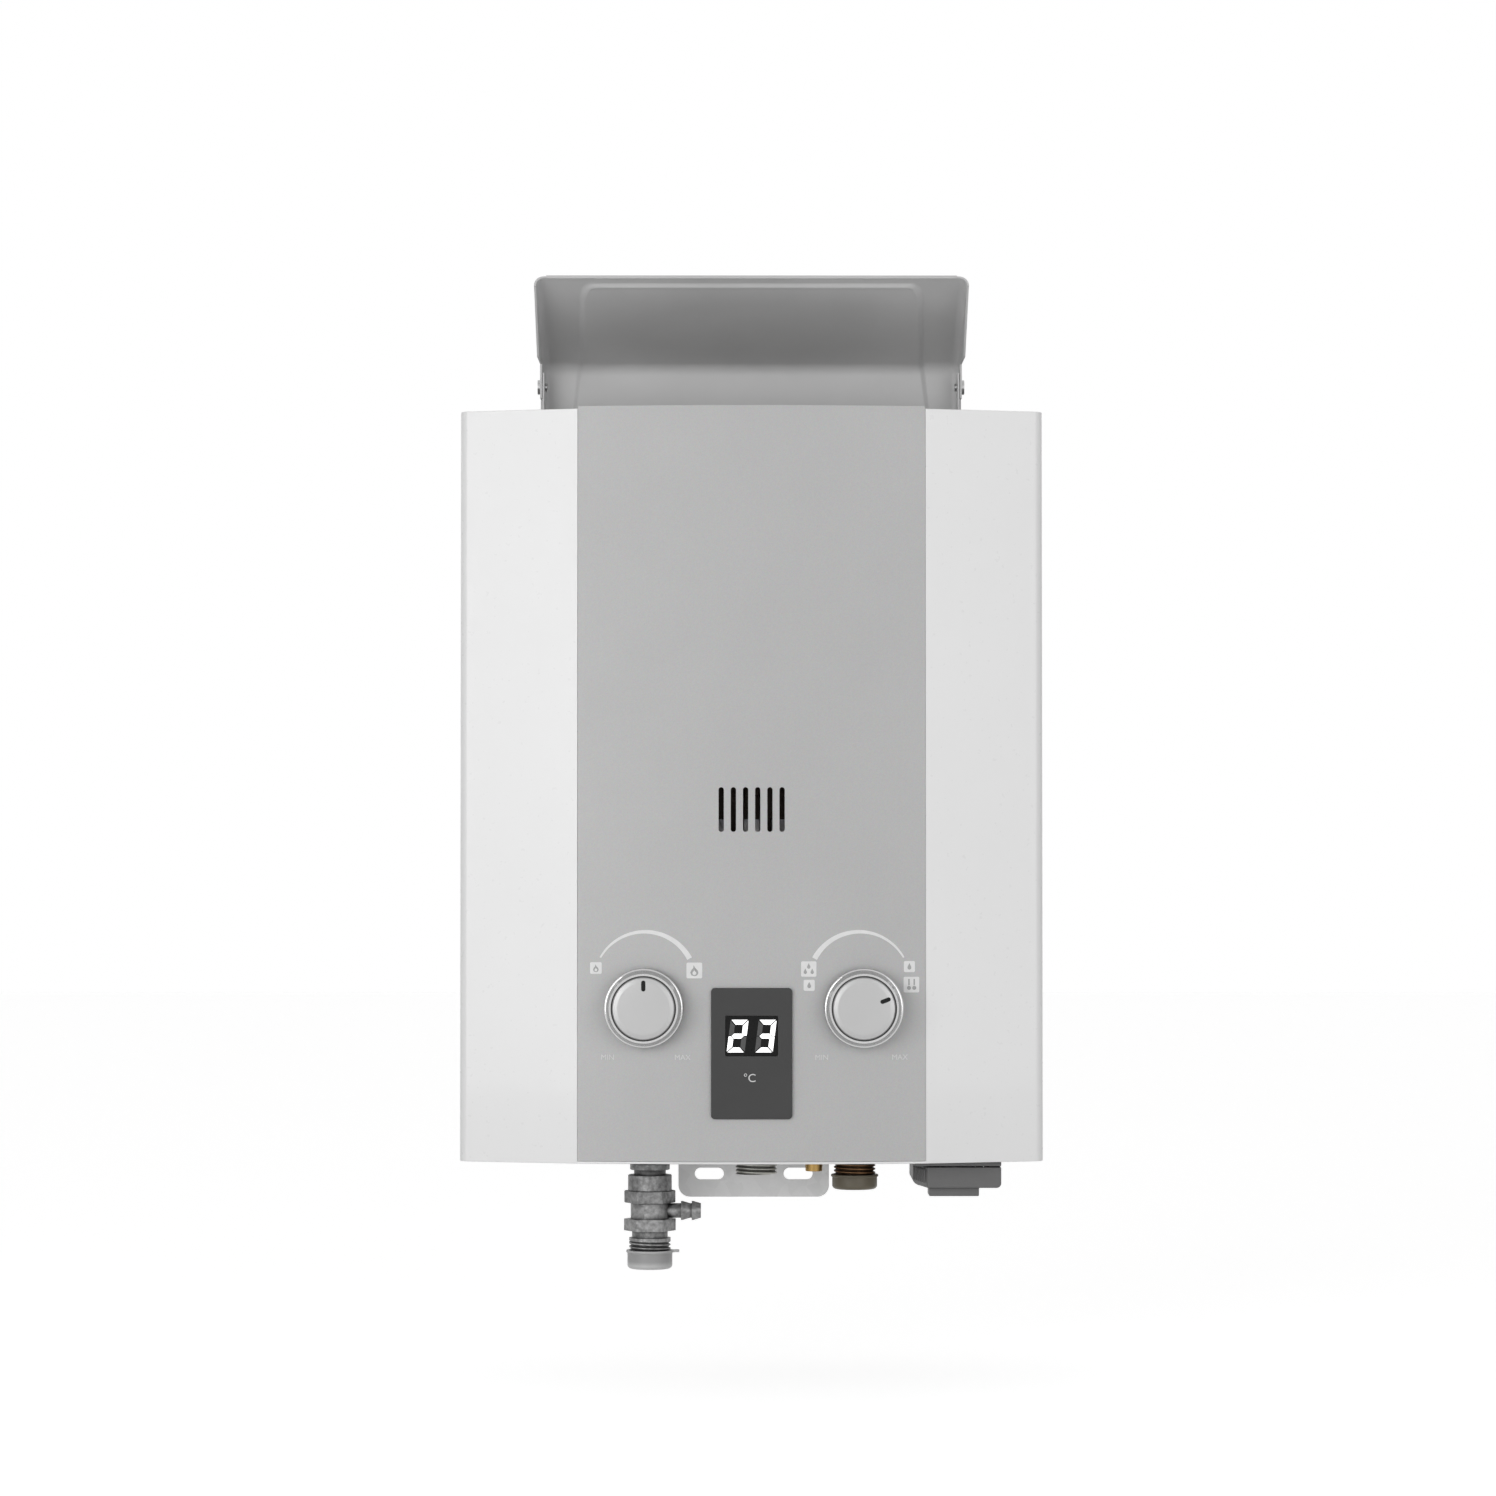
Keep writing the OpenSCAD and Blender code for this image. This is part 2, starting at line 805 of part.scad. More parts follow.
module back_plate() {
    low = floor_z;
    high = casing_h - cover_t - pass;
    rib_x = [for (s = [-1, 1]) s * inner_w / 3];
    color("gainsboro") difference() {
        union() {
            translate([-inner_w / 2, -plate_t, low]) cube([inner_w, plate_t, high - low]);
            for (s = [-1, 1])
                translate([s * (inner_w - plate_t) / 2 - plate_t / 2, -flange_w, low])
                    cube([plate_t, flange_w, high - low]);
            from_front(-plate_t, plate_t) difference() {
                translate([tab_x, (low - tab_drop) / 2]) rounded_box(tab_w, low + tab_drop, tab_r);
                translate([-tab_w, low]) square([2 * tab_w, casing_h]);
            }
            from_front(-plate_t, plate_t) translate([tab_x - tab_w / 2, 0]) square([tab_w, low]);
            translate([-inner_w / 2, -top_flange_w, high - plate_t]) cube([inner_w, top_flange_w, plate_t]);
            for (x = rib_x) plate_rib(x, -rib_d, 0, 0);
        }
        for (x = rib_x) plate_rib(x, plate_t - rib_d, over, plate_t);
        from_front(-plate_t - over, plate_t + 2 * over) {
            translate([0, keyhole_z]) circle(d = keyhole_d);
            translate([-keyhole_neck / 2, keyhole_z]) square([keyhole_neck, keyhole_d]);
            translate([0, keyhole_z + keyhole_d]) circle(d = keyhole_neck);
            for (s = [-1, 1])
                translate([tab_x + s * tab_slot_span / 2, -tab_slot_drop]) oblong(tab_slot_l, tab_slot_w);
        }
    }
}

module bottom_plate() {
    side_gap = cover_t + pass + plate_t;
    color("gainsboro") difference() {
        translate([0, 0, bottom_z]) linear_extrude(plate_t)
            polygon(inset(cover_points(side_gap - plate_t - seat), side_gap));
        translate([0, 0, bottom_z - over]) linear_extrude(plate_t + 2 * over) {
            for (x = [outlet_x, gas_inlet_x, inlet_x])
                translate([x, -port_y]) circle(d = nut_d + 2 * port_gap);
            translate([drain_x, -port_y]) circle(d = drain_boss_d + 2 * port_gap);
            translate([box_x, -box_back - box_d / 2])
                square([box_w + 2 * pass, box_d + 2 * pass], center = true);
            for (p = cover_screw_spots()) translate(p) circle(d = screw_d + pass);
            for (i = [0:vent_n - 1], x = vent_x)
                translate([x + (i - (vent_n - 1) / 2) * vent_pitch, vent_y])
                    rotate(90) oblong(vent_l, vent_w);
        }
    }
}

module display_bezel() {
    color("dimgray") difference() {
        union() {
            from_front(bezel_back_y - bezel_t, bezel_t)
                translate([0, bezel_z]) rounded_box(bezel_w, bezel_h, bezel_r);
            from_front(bezel_back_y, boss_d) translate([0, bezel_z]) rounded_box(boss_w, boss_h, boss_r);
        }
        from_front(bezel_back_y - bezel_t - over, boss_d + bezel_t + 2 * over)
            translate([0, bezel_z + led_rise]) square([led_w + 2 * seat, led_h + 2 * seat], center = true);
    }
}

module led_module() {
    color("black") from_front(led_face_y, bezel_back_y + boss_d - led_face_y)
        translate([0, bezel_z + led_rise]) square([led_w, led_h], center = true);
}

// Segment outlines of one digit, in the order a to g, with the middle of the digit at the origin
function top_bar(w, h, g) =
    [[-w + g, h], [w - g, h], [w - g - segment_w, h - segment_w], [-w + g + segment_w, h - segment_w]];
function side_bar(w, h, g) = [
    [w, h - g], [w, g / 2], [w - segment_w / 2, g / 2], [w - segment_w, (segment_w + g) / 2],
    [w - segment_w, h - segment_w - g]
];
function middle_bar(w, g) =
    let (tip = w - segment_w / 2 - g / 2, end = tip - segment_w / 2, half = segment_w / 2)
    [[-tip, 0], [-end, -half], [end, -half], [tip, 0], [end, half], [-end, half]];
function turned(points, sx, sy) = [for (p = points) [sx * p[0], sy * p[1]]];
function segment(i) =
    let (w = digit_w / 2, h = digit_h / 2, g = segment_gap, flat = top_bar(w, h, g), tall = side_bar(w, h, g))
    [
        flat, tall, turned(tall, 1, -1), turned(flat, 1, -1), turned(tall, -1, -1), turned(tall, -1, 1),
        middle_bar(w, g)
    ][i];
lit_segments = [[0, 1, 3, 4, 6], [0, 1, 2, 3, 6]];
function is_lit(digit, i) = len([for (s = lit_segments[digit]) if (s == i) s]) > 0;

module digits(lit) {
    from_front(led_face_y - segment_t, segment_t) for (digit = [0, 1], i = [0:6])
        if (is_lit(digit, i) == lit)
            translate([(digit - 0.5) * (digit_w + digit_gap), bezel_z + led_rise])
                polygon(sheared(segment(i), digit_slant));
}

module led_segments_lit() {
    color("white") digits(true);
}

module led_segments_dark() {
    color("gray") digits(false);
}

module display_board() {
    color("darkgreen") from_front(bezel_back_y + boss_d, board_t)
        translate([0, bezel_z]) square([boss_w - 2 * board_edge, boss_h - 2 * board_edge], center = true);
}

module pointer_mark(extra, deep) {
    translate([0, pointer_r, knob_h - deep]) linear_extrude(deep + (extra > 0 ? over : 0))
        rotate(90) oblong(pointer_l + extra, pointer_w + extra);
}

// Satin core of a knob: a crowned disc on a hub, with a collar that fits the skirt and a groove above it
module knob_core(deg) {
    r = knob_face_d / 2;
    collar = r + groove_w - run;
    color("silver") rotate(deg) difference() {
        union() {
            rotate_extrude() polygon([
                [0, knob_h - disc_t], [collar, knob_h - disc_t], [collar, knob_h - groove_d],
                [r, knob_h - groove_d], [r, knob_h - edge_drop], [r - edge_in, knob_h - crown_drop],
                [r - crown_in, knob_h], [0, knob_h]
            ]);
            translate([0, 0, hub_lift]) cylinder(d = hub_d, h = knob_h - disc_t);
        }
        translate([0, 0, -over]) cylinder(d = spindle_d + 2 * run, h = knob_h - disc_t / 2 + over + run);
        pointer_mark(2 * run, pointer_depth);
    }
}

// Bright skirt of a knob: a straight foot, a rounded shoulder and a bevel up to the disc
module knob_skirt() {
    r = knob_d / 2;
    foot = skirt_foot;
    inner = knob_face_d / 2 + groove_w;
    top = knob_h - skirt_drop;
    color("gainsboro") rotate_extrude() difference() {
        union() {
            square([r, foot]);
            translate([0, foot]) square([r - shoulder_r, shoulder_r]);
            translate([r - shoulder_r, foot]) circle(shoulder_r);
            polygon([[0, foot], [r - shoulder_r, foot + shoulder_r], [inner + lip_t, top], [0, top]]);
        }
        translate([-over, -over]) square([inner + over, knob_h + 2 * over]);
        translate([-over, -over]) square([r - skirt_t + over, foot - skirt_web + over]);
    }
}

module knob_pointer(deg) {
    color("black") rotate(deg) pointer_mark(0, pointer_depth - run);
}

module at_gas_knob() {
    facing_front(gas_knob_x, knob_back_y, knob_z) children();
}

module at_water_knob() {
    facing_front(water_knob_x, knob_back_y, knob_z) children();
}

module gas_knob() {
    at_gas_knob() knob_core(0);
}

module gas_knob_skirt() {
    at_gas_knob() knob_skirt();
}

module gas_knob_pointer() {
    at_gas_knob() knob_pointer(0);
}

module water_knob() {
    at_water_knob() knob_core(-water_pointer_deg);
}

module water_knob_skirt() {
    at_water_knob() knob_skirt();
}

module water_knob_pointer() {
    at_water_knob() knob_pointer(-water_pointer_deg);
}

// Spindle from its bush on a valve to inside the knob
module spindle(x, bush_front) {
    color("gray") facing_front(x, bush_front + bush_l + spindle_in, knob_z)
        cylinder(d = spindle_d, h = bush_front + bush_l + spindle_in - spindle_end_y);
}

// Bore of a valve for its spindle, from the front of the bush to a little past the spindle's end
module spindle_bore(x, bush_front) {
    deep = bush_l + spindle_in + over;
    facing_front(x, bush_front + deep, knob_z) cylinder(d = spindle_d + 2 * run, h = deep + over);
}

module gas_spindle() {
    spindle(gas_knob_x, -port_y - gas_half_d - bush_l);
}

module water_spindle() {
    spindle(water_knob_x, drum_front - bush_l);
}

// Space under the rear wall, bend and roof drawn on (y, z), grown outwards
module under_cap(grow, low, length) {
    wall = cap_back_y + grow;
    start = roof_start + cap_up * grow;
    end = start + cap_roof * length;
    translate(bend_c) circle(cap_bend_r + grow);
    polygon([[wall, low], [wall, wall_end], bend_c, start, end, [end[0], low]]);
}

// Sheet between two distances from the inner face
module cap_sheet(inner, outer, low, length) {
    difference() {
        under_cap(outer, low, length);
        under_cap(inner, low - over, length + over);
    }
}

// Cross-section of the sheet, drawn on (x, height above the inner face), with its two bent corners
module cap_section() {
    flat = cap_w / 2 - cap_corner_r;
    translate([-flat, 0]) square([2 * flat, cap_t]);
    for (s = [0, 1]) mirror([s, 0]) intersection() {
        translate([flat, cap_under]) difference() {
            circle(cap_corner_r);
            circle(cap_corner_r - cap_t);
        }
        translate([flat, cap_under]) square(cap_corner_r);
    }
    for (s = [0, 1]) mirror([s, 0])
        translate([cap_w / 2 - cap_t, cap_under - cap_t / 2]) square([cap_t, cap_t / 2]);
}

// The cross-section led up the rear wall, round the bend and along the roof
module cap_shell() {
    translate([0, cap_back_y, cap_seat_z]) linear_extrude(wall_end - cap_seat_z) cap_section();
    multmatrix([[0, 0, 1, 0], [1, 0, 0, bend_c[0]], [0, 1, 0, bend_c[1]], [0, 0, 0, 1]])
        rotate_extrude(angle = atan2(cap_up[1], cap_up[0]))
            translate([cap_bend_r, 0]) mirror([1, -1]) cap_section();
    multmatrix([
        [1, 0, 0, 0], [0, cap_up[0], cap_roof[0], roof_start[0]],
        [0, cap_up[1], cap_roof[1], roof_start[1]], [0, 0, 0, 1]
    ]) linear_extrude(roof_l) cap_section();
}

// Side wall below the bent corner, with a tab for its screw
module cap_side() {
    tab = cap_screw - [screw_tab, screw_tab];
    intersection() {
        under_cap(cap_under, cap_seat_z, roof_l);
        polygon([
            cap_rim + cap_up * cap_t, cap_rim + cap_up * cap_under, [cap_rim[0] + cheek_run, cheek_low],
            [tab[0], cheek_low], tab, [0, tab[1]], [0, cap_rim[1] + cap_rise]
        ]);
    }
}

// Front outline of the pressed panel on (x, z), drawn in by a distance, its upper corners in short chords
function panel_points(edge) =
    let (
        foot = press_low_w / 2 - edge, head = press_w / 2 - edge, r = press_r - edge,
        low = press_low + edge, top = cap_rim[1] - press_margin * cap_roof[1] - edge,
        lean = atan2(foot - head, top - low), mid = [head - r * (1 - sin(lean)) / cos(lean), top - r],
        turn = [for (i = [0:press_chords]) lean + (90 - lean) * i / press_chords],
        right = concat([[foot, low]], [for (a = turn) mid + r * [cos(a), sin(a)]])
    )
    concat(right, [for (i = [len(right) - 1:-1:0]) [-right[i][0], right[i][1]]]);

// Panel that runs round the bend, between two distances from the inner face
module pressed_panel(inner, outer, edge) {
    intersection() {
        across(-cap_w / 2, cap_w) cap_sheet(inner, outer, cap_seat_z, roof_l);
        from_front(-cap_reach, cap_reach) polygon(panel_points(edge));
    }
}

// Rear wall, bend and roof of one sheet, with side walls, a rolled rim and a panel pressed inwards
module rain_cap() {
    color("darkgray") difference() {
        union() {
            cap_shell();
            pressed_panel(-press_d, cap_t, 0);
            for (x = [-cap_w / 2, cap_w / 2 - cap_t]) across(x, cap_t) cap_side();
            across(-hem_w / 2, hem_w) translate(cap_rim + cap_up * cap_t / 2) circle(d = hem_d);
        }
        pressed_panel(cap_t - press_d, cap_t + over, cap_t);
        across(-cap_w, 2 * cap_w) translate(cap_screw) circle(d = screw_d + pass);
    }
}

// Collar under the cap: two cheeks and a low front wall that stand in the flue collector
module rain_cap_collar() {
    back = cap_back_y + cap_under - seat;
    top = cap_screw[1] + cheek_margin;
    cheek_y = cap_screw[0] - cheek_margin;
    front_top = casing_h + collar_rise;
    color("darkgray") difference() {
        union() {
            for (x = [-collar_w / 2, collar_w / 2 - cap_t]) across(x, cap_t) polygon([
                [back, cap_seat_z], [-collar_reach, cap_seat_z], [-collar_reach, front_top],
                [cheek_y, casing_h + cheek_foot], [cheek_y, top], [back, top]
            ]);
            translate([-collar_w / 2, -collar_reach, cap_seat_z])
                cube([collar_w, cap_t, front_top - cap_seat_z]);
        }
        across(-cap_w, 2 * cap_w) translate(cap_screw) circle(d = screw_d + pass);
    }
}

module rain_cap_screws() {
    color("lightgray") for (s = [-1, 1])
        translate([s * cap_w / 2, cap_screw[0], cap_screw[1]])
            rotate([0, -s * 90, 0]) screw(cap_screw_l, cap_screw_head);
}

function flue_points(grow, low, top) = [
    [flue_back + grow, low], [flue_back + grow, top], [flue_front - grow, top],
    [flue_front - grow, flue_top - flue_throat], [chamber_front - seat - grow, flue_low + flue_skirt],
    [chamber_front - seat - grow, low]
];

// Box that narrows from the chamber to the cap, with a floor that fits round the chamber
module flue_collector() {
    color("gainsboro") difference() {
        across(-flue_w / 2 - flue_t, flue_w + 2 * flue_t) polygon(flue_points(flue_t, flue_low, flue_top));
        across(-flue_w / 2, flue_w) polygon(flue_points(0, flue_low + flue_t, flue_top + over));
        translate([-chamber_w / 2 - seat, chamber_front - seat, flue_low - over])
            cube([chamber_w + 2 * seat, chamber_d + 2 * seat, 2 * over + flue_t]);
    }
}

module tube_holes() {
    across(-chamber_w, 2 * chamber_w)
        for (y = row_y) translate([y, tube_z]) circle(d = tube_d + 2 * run);
}

module combustion_chamber() {
    w = chamber_w - 2 * chamber_t;
    d = chamber_d - 2 * chamber_t;
    color("peru") difference() {
        translate([-chamber_w / 2, chamber_front, chamber_z]) cube([chamber_w, chamber_d, chamber_h]);
        translate([-w / 2, chamber_front + chamber_t, chamber_z - over]) cube([w, d, chamber_h + 2 * over]);
        tube_holes();
        from_front(chamber_front - over, chamber_t + 2 * over) {
            translate([0, sight_z])
                rounded_box(sight_n * sight_pitch + 2 * window_side, sight_h + 2 * window_top, window_r);
            for (s = [-1, 1]) translate([s * electrode_x, electrode_z]) circle(d = ceramic_d + 2 * pass);
        }
    }
}

module chamber_brackets() {
    w = bracket_w;
    deep = -chamber_back - plate_t;
    color("gainsboro") for (s = [-1, 1])
        translate([s * chamber_w / 4 - w / 2, chamber_back, chamber_z + bracket_rise]) difference() {
            cube([w, deep, bracket_h]);
            translate([plate_t, plate_t, -over])
                cube([w - 2 * plate_t, deep - 2 * plate_t, bracket_h + 2 * over]);
        }
}

module fin_pack() {
    d = chamber_d - 2 * chamber_t - 2 * seat;
    color("peru") for (i = [0:fin_n - 1])
        across((i + 0.5 - fin_n / 2) * fin_pitch - fin_t / 2, fin_t) difference() {
            translate([chamber_y - d / 2, fin_z]) square([d, fin_h]);
            for (y = row_y) translate([y, tube_z]) circle(d = tube_d + 2 * run);
        }
}

module exchanger_tubes() {
    out = chamber_w / 2 + stub_l;
    color("peru") pipe([
        [out, row_y[0], tube_z], [-turn_x, row_y[0], tube_z], [-turn_x, row_y[1], tube_z],
        [turn_x, row_y[1], tube_z], [turn_x, row_y[2], tube_z], [-out, row_y[2], tube_z]
    ], tube_d, tube_pitch / 2);
}

function bar_x(i) = (i - (bar_n - 1) / 2) * bar_pitch;

// Tray under the chamber; the bars rest on its two ledges and the nozzles reach in through its front
module burner_frame() {
    low = chamber_z - frame_h;
    w = chamber_w - 2 * frame_t;
    d = chamber_d - 2 * frame_t;
    color("gainsboro") difference() {
        translate([-chamber_w / 2, chamber_front, low]) cube([chamber_w, chamber_d, frame_h]);
        translate([-w / 2, chamber_front + frame_t, bar_z]) cube([w, d, frame_h]);
        translate([-w / 2, chamber_front + frame_t + ledge, low - over]) cube([w, d - 2 * ledge, frame_h]);
        from_front(chamber_front - over, frame_t + 2 * over)
            for (i = [0:bar_n - 1]) translate([bar_x(i), manifold_z]) circle(d = nozzle_d + 2 * nozzle_gap);
    }
}

module burner_bars() {
    pitch = bar_d / flame_ports;
    slot = 0.4 * pitch;
    front = chamber_y - bar_d / 2;
    color("silver") for (i = [0:bar_n - 1]) difference() {
        across(bar_x(i) - bar_w / 2, bar_w) difference() {
            translate([front, bar_z]) square([bar_d, bar_h]);
            for (k = [0:flame_ports - 1])
                translate([front + (k + 0.5) * pitch - slot / 2, bar_z + bar_h - flame_port_h])
                    square([slot, flame_port_h + over]);
        }
        facing_front(bar_x(i), front + bar_throat, manifold_z)
            cylinder(d = bar_w - 2 * bar_wall, h = bar_throat + over);
    }
}

module gas_manifold() {
    half = bar_x(bar_n - 1) + manifold_end;
    color("silver") {
        rod([-half, manifold_y, manifold_z], [half, manifold_y, manifold_z], manifold_d);
        for (i = [0:bar_n - 1])
            rod([bar_x(i), manifold_y, manifold_z],
                [bar_x(i), chamber_front + frame_t + nozzle_in, manifold_z], nozzle_d);
        translate([riser_x, manifold_y, manifold_z - riser_socket])
            cylinder(d = riser_d + 2 * riser_wall, h = riser_socket);
    }
}

module gas_riser() {
    turn_z = gas_top_z + riser_rise;
    color("silver") pipe([
        [riser_x, -port_y, gas_top_z + riser_boss_h], [riser_x, -port_y, turn_z],
        [riser_x, manifold_y, turn_z], [riser_x, manifold_y, manifold_z - riser_socket]
    ], riser_d, riser_bend);
}

// Ceramic rod with a collar on the chamber's front and a bent wire over the burner
module electrode(x) {
    outer = chamber_front - ceramic_out;
    tip = chamber_front + ceramic_in;
    end = tip + wire_in;
    z = electrode_z;
    color("white") {
        rod([x, outer, z], [x, tip, z], ceramic_d);
        rod([x, chamber_front - ceramic_collar_t, z], [x, chamber_front, z], ceramic_collar_d);
        rod([x, outer - wire_out, z], [x, end, z], wire_d);
        rod([x, end, z + wire_d / 2], [x, end, z - wire_drop], wire_d);
    }
}

module ignition_electrode() {
    electrode(-electrode_x);
}

module flame_sensor() {
    electrode(electrode_x);
}

module overheat_switch() {
    z = chamber_z + switch_rise;
    x = -chamber_w / 2;
    color("dimgray") {
        rod([x - cup_h, chamber_y, z], [x, chamber_y, z], cup_d);
        translate([x - cup_ear_t, chamber_y - cup_ear_l / 2, z - cup_ear_h / 2])
            cube([cup_ear_t, cup_ear_l, cup_ear_h]);
        for (s = [-1, 1])
            translate([x - cup_h - blade_l, chamber_y + s * blade_apart - blade_t / 2, z - blade_w / 2])
                cube([blade_l + over, blade_t, blade_w]);
    }
}

module igniter_module() {
    x = -casing_w / 2 + igniter_side + igniter_w / 2;
    color("dimgray") {
        from_front(-plate_t - igniter_d, igniter_d)
            translate([x, igniter_z]) rounded_box(igniter_w, igniter_h, igniter_r);
        for (s = [-1, 0, 1]) translate([x + s * tower_pitch, -plate_t - igniter_d / 2, igniter_z])
            cylinder(d = tower_d, h = igniter_h / 2 + tower_h);
    }
}

// Cast gas valve: block with the spindle's bush, magnet unit, inlet boss and outlet boss
module gas_valve() {
    mid_x = (gas_left + gas_right) / 2;
    mid_z = (gas_top_z + gas_bottom_z) / 2;
    bush = -port_y - gas_half_d - bush_l;
    color("silver") difference() {
        union() {
            from_front(-port_y - gas_half_d, 2 * gas_half_d)
                translate([mid_x, mid_z]) rounded_box(gas_right - gas_left, gas_top_z - gas_bottom_z, gas_r);
            facing_front(gas_knob_x, -port_y, knob_z) cylinder(d = bush_d, h = gas_half_d + bush_l);
            rod([gas_left - magnet_out, -port_y, mid_z], [gas_left + magnet_in, -port_y, mid_z], gas_boss_d);
            translate([gas_inlet_x, -port_y, gas_bottom_z - gas_boss_l])
                cylinder(d = gas_boss_d, h = gas_boss_l + gas_boss_in);
            translate([riser_x, -port_y, gas_top_z - riser_boss_in])
                cylinder(d = riser_d + 2 * riser_boss_wall, h = riser_boss_h + riser_boss_in);
        }
        spindle_bore(gas_knob_x, bush);
        rod([gas_right - rod_end - rod_travel - rod_room, -port_y, knob_z],
            [gas_right + over, -port_y, knob_z], rod_d + 2 * run);
    }
}

module gas_inlet() {
    top = gas_bottom_z - gas_boss_l;
    color("darkseagreen") translate([gas_inlet_x, -port_y, 0]) difference() {
        union() {
            translate([0, 0, top - nut_h]) cylinder(d = nut_d, h = nut_h, $fn = 6);
            translate([0, 0, -over]) cylinder(d = shank_d, h = top);
            translate([0, 0, nipple_end]) cylinder(d = thread_d, h = -nipple_end);
        }
        translate([0, 0, nipple_end - over]) cylinder(d = port_bore, h = top - nipple_end - bore_stop);
    }
}

module push_rod() {
    color("gray") {
        rod([gas_right - rod_end, -port_y, knob_z], [drum_left + rod_end, -port_y, knob_z], rod_d);
        rod([rod_collar_x, -port_y, knob_z], [lever_x - pass, -port_y, knob_z], collar_d);
    }
}

module microswitch() {
    color("black") translate([drum_left - switch_t, -port_y - switch_w / 2, switch_z])
        cube([switch_t, switch_w, switch_h]);
}

module microswitch_lever() {
    low = knob_z + rod_d / 2 + lever_lift;
    color("silver") translate([lever_x, -port_y - lever_w / 2, low])
        cube([lever_t, lever_w, lever_top - low]);
}

function valve_screw_spots() =
    let (r = drum_d / 2 - drum_screw_in) [for (a = [45:90:315]) [-port_y + cos(a) * r, knob_z + sin(a) * r]];

module valve_screw_holes() {
    across(drum_left, 2 * drum_d) for (p = valve_screw_spots()) translate(p) circle(d = screw_d + pass);
}

// Brass body of the water valve: half of the diaphragm drum, spindle bush, inlet and outlet bosses
module water_valve() {
    bush = drum_front - bush_l;
    color("goldenrod") difference() {
        union() {
            difference() {
                rod([drum_split, -port_y, knob_z], [drum_split + drum_flange, -port_y, knob_z], drum_d);
                valve_screw_holes();
            }
            rod([drum_split, -port_y, knob_z], [drum_right, -port_y, knob_z], drum_d - 2 * drum_rim);
            facing_front(water_knob_x, -port_y, knob_z) cylinder(d = bush_d, h = -port_y - bush);
            translate([inlet_x, -port_y, inlet_boss_z])
                cylinder(d = inlet_boss_d, h = knob_z - inlet_boss_z);
            rod([drum_right - valve_out_in, -port_y, valve_out_z], [valve_out_x, -port_y, valve_out_z],
                tube_d + 2 * valve_out_wall);
        }
        spindle_bore(water_knob_x, bush);
    }
}

module water_valve_cover() {
    color("goldenrod") difference() {
        union() {
            difference() {
                rod([drum_split - drum_flange, -port_y, knob_z], [drum_split, -port_y, knob_z], drum_d);
                valve_screw_holes();
            }
            rod([drum_left, -port_y, knob_z], [drum_split, -port_y, knob_z], drum_d - 2 * drum_rim);
            translate([drain_x, -port_y, drain_boss_z])
                cylinder(d = drain_boss_d, h = knob_z - drain_boss_z - 2 * rod_d);
        }
        rod([drum_left - rod_end, -port_y, knob_z], [drum_split + over, -port_y, knob_z], rod_d + 2 * run);
    }
}

module valve_screws() {
    color("lightgray") for (p = valve_screw_spots())
        translate([drum_split - drum_flange, p[0], p[1]]) rotate([0, 90, 0]) screw(2 * drum_flange - pass);
}

module drain_plug() {
    color("goldenrod") translate([drain_x, -port_y, 0]) difference() {
        union() {
            translate([0, 0, drain_end]) cylinder(d = drain_d, h = drain_boss_z - drain_end);
            translate([0, 0, drain_boss_z - drain_flange]) cylinder(d = drain_boss_d, h = drain_flange);
        }
        translate([-drain_d, -drain_slot_w / 2, drain_end - over])
            cube([2 * drain_d, drain_slot_w, drain_slot_h + over]);
    }
}

module cold_inlet() {
    color("goldenrod") translate([inlet_x, -port_y, 0]) difference() {
        union() {
            translate([0, 0, inlet_boss_z - nut_h]) cylinder(d = nut_d, h = nut_h, $fn = 6);
            translate([0, 0, -over]) cylinder(d = shank_d, h = inlet_boss_z);
            translate([0, 0, inlet_end]) cylinder(d = thread_d, h = -inlet_end);
        }
        translate([0, 0, inlet_end - over])
            cylinder(d = port_bore, h = inlet_boss_z - inlet_end - bore_stop);
    }
}

// Push-on cap over a threaded end, with a pull tab
module port_cap(top, end) {
    r = thread_d / 2 + run;
    outer = r + plug_t;
    low = end - seat - plug_floor;
    color("white") {
        rotate_extrude() difference() {
            union() {
                translate([0, low + plug_r]) square([outer, top - low - plug_r]);
                translate([0, low]) square([outer - plug_r, plug_r]);
                translate([outer - plug_r, low + plug_r]) circle(plug_r);
                translate([0, top - plug_rim_h]) square([outer + plug_rim_w, plug_rim_h]);
            }
            translate([-over, end - seat]) square([r + over, top - end + over]);
        }
        translate([r + pass, -plug_tab[1] / 2, top - plug_tab[2]]) cube(plug_tab);
    }
}

module inlet_cap() {
    translate([inlet_x, -port_y, 0]) rotate(90) port_cap(inlet_plug_top, inlet_end);
}

module outlet_cap() {
    translate([outlet_x, -port_y, 0]) port_cap(outlet_plug_top, relief_end);
}

module cold_pipe() {
    color("peru") pipe([
        [valve_out_x, -port_y, valve_out_z], [pipe_x, -port_y, valve_out_z], [pipe_x, row_y[0], valve_out_z],
        [pipe_x, row_y[0], tube_z], [chamber_w / 2 + stub_l, row_y[0], tube_z]
    ], tube_d, pipe_bend_r);
}

module hot_pipe() {
    color("peru") pipe([
        [-chamber_w / 2 - stub_l, row_y[2], tube_z], [-pipe_x, row_y[2], tube_z],
        [-pipe_x, row_y[2], hot_turn_z],
        [outlet_x, row_y[2], hot_turn_z], [outlet_x, row_y[2], hot_end_z]
    ], tube_d, pipe_bend_r);
}

module outlet_probe() {
    color("dimgray") translate([-pipe_x, -port_y, probe_z]) difference() {
        union() {
            cylinder(d = tube_d + 2 * probe_wall, h = probe_h);
            facing_front(0, 0, probe_h / 2) cylinder(d = probe_d, h = tube_d / 2 + probe_l);
        }
        translate([0, 0, -over]) cylinder(d = tube_d + 2 * seat, h = probe_h + 2 * over);
    }
}

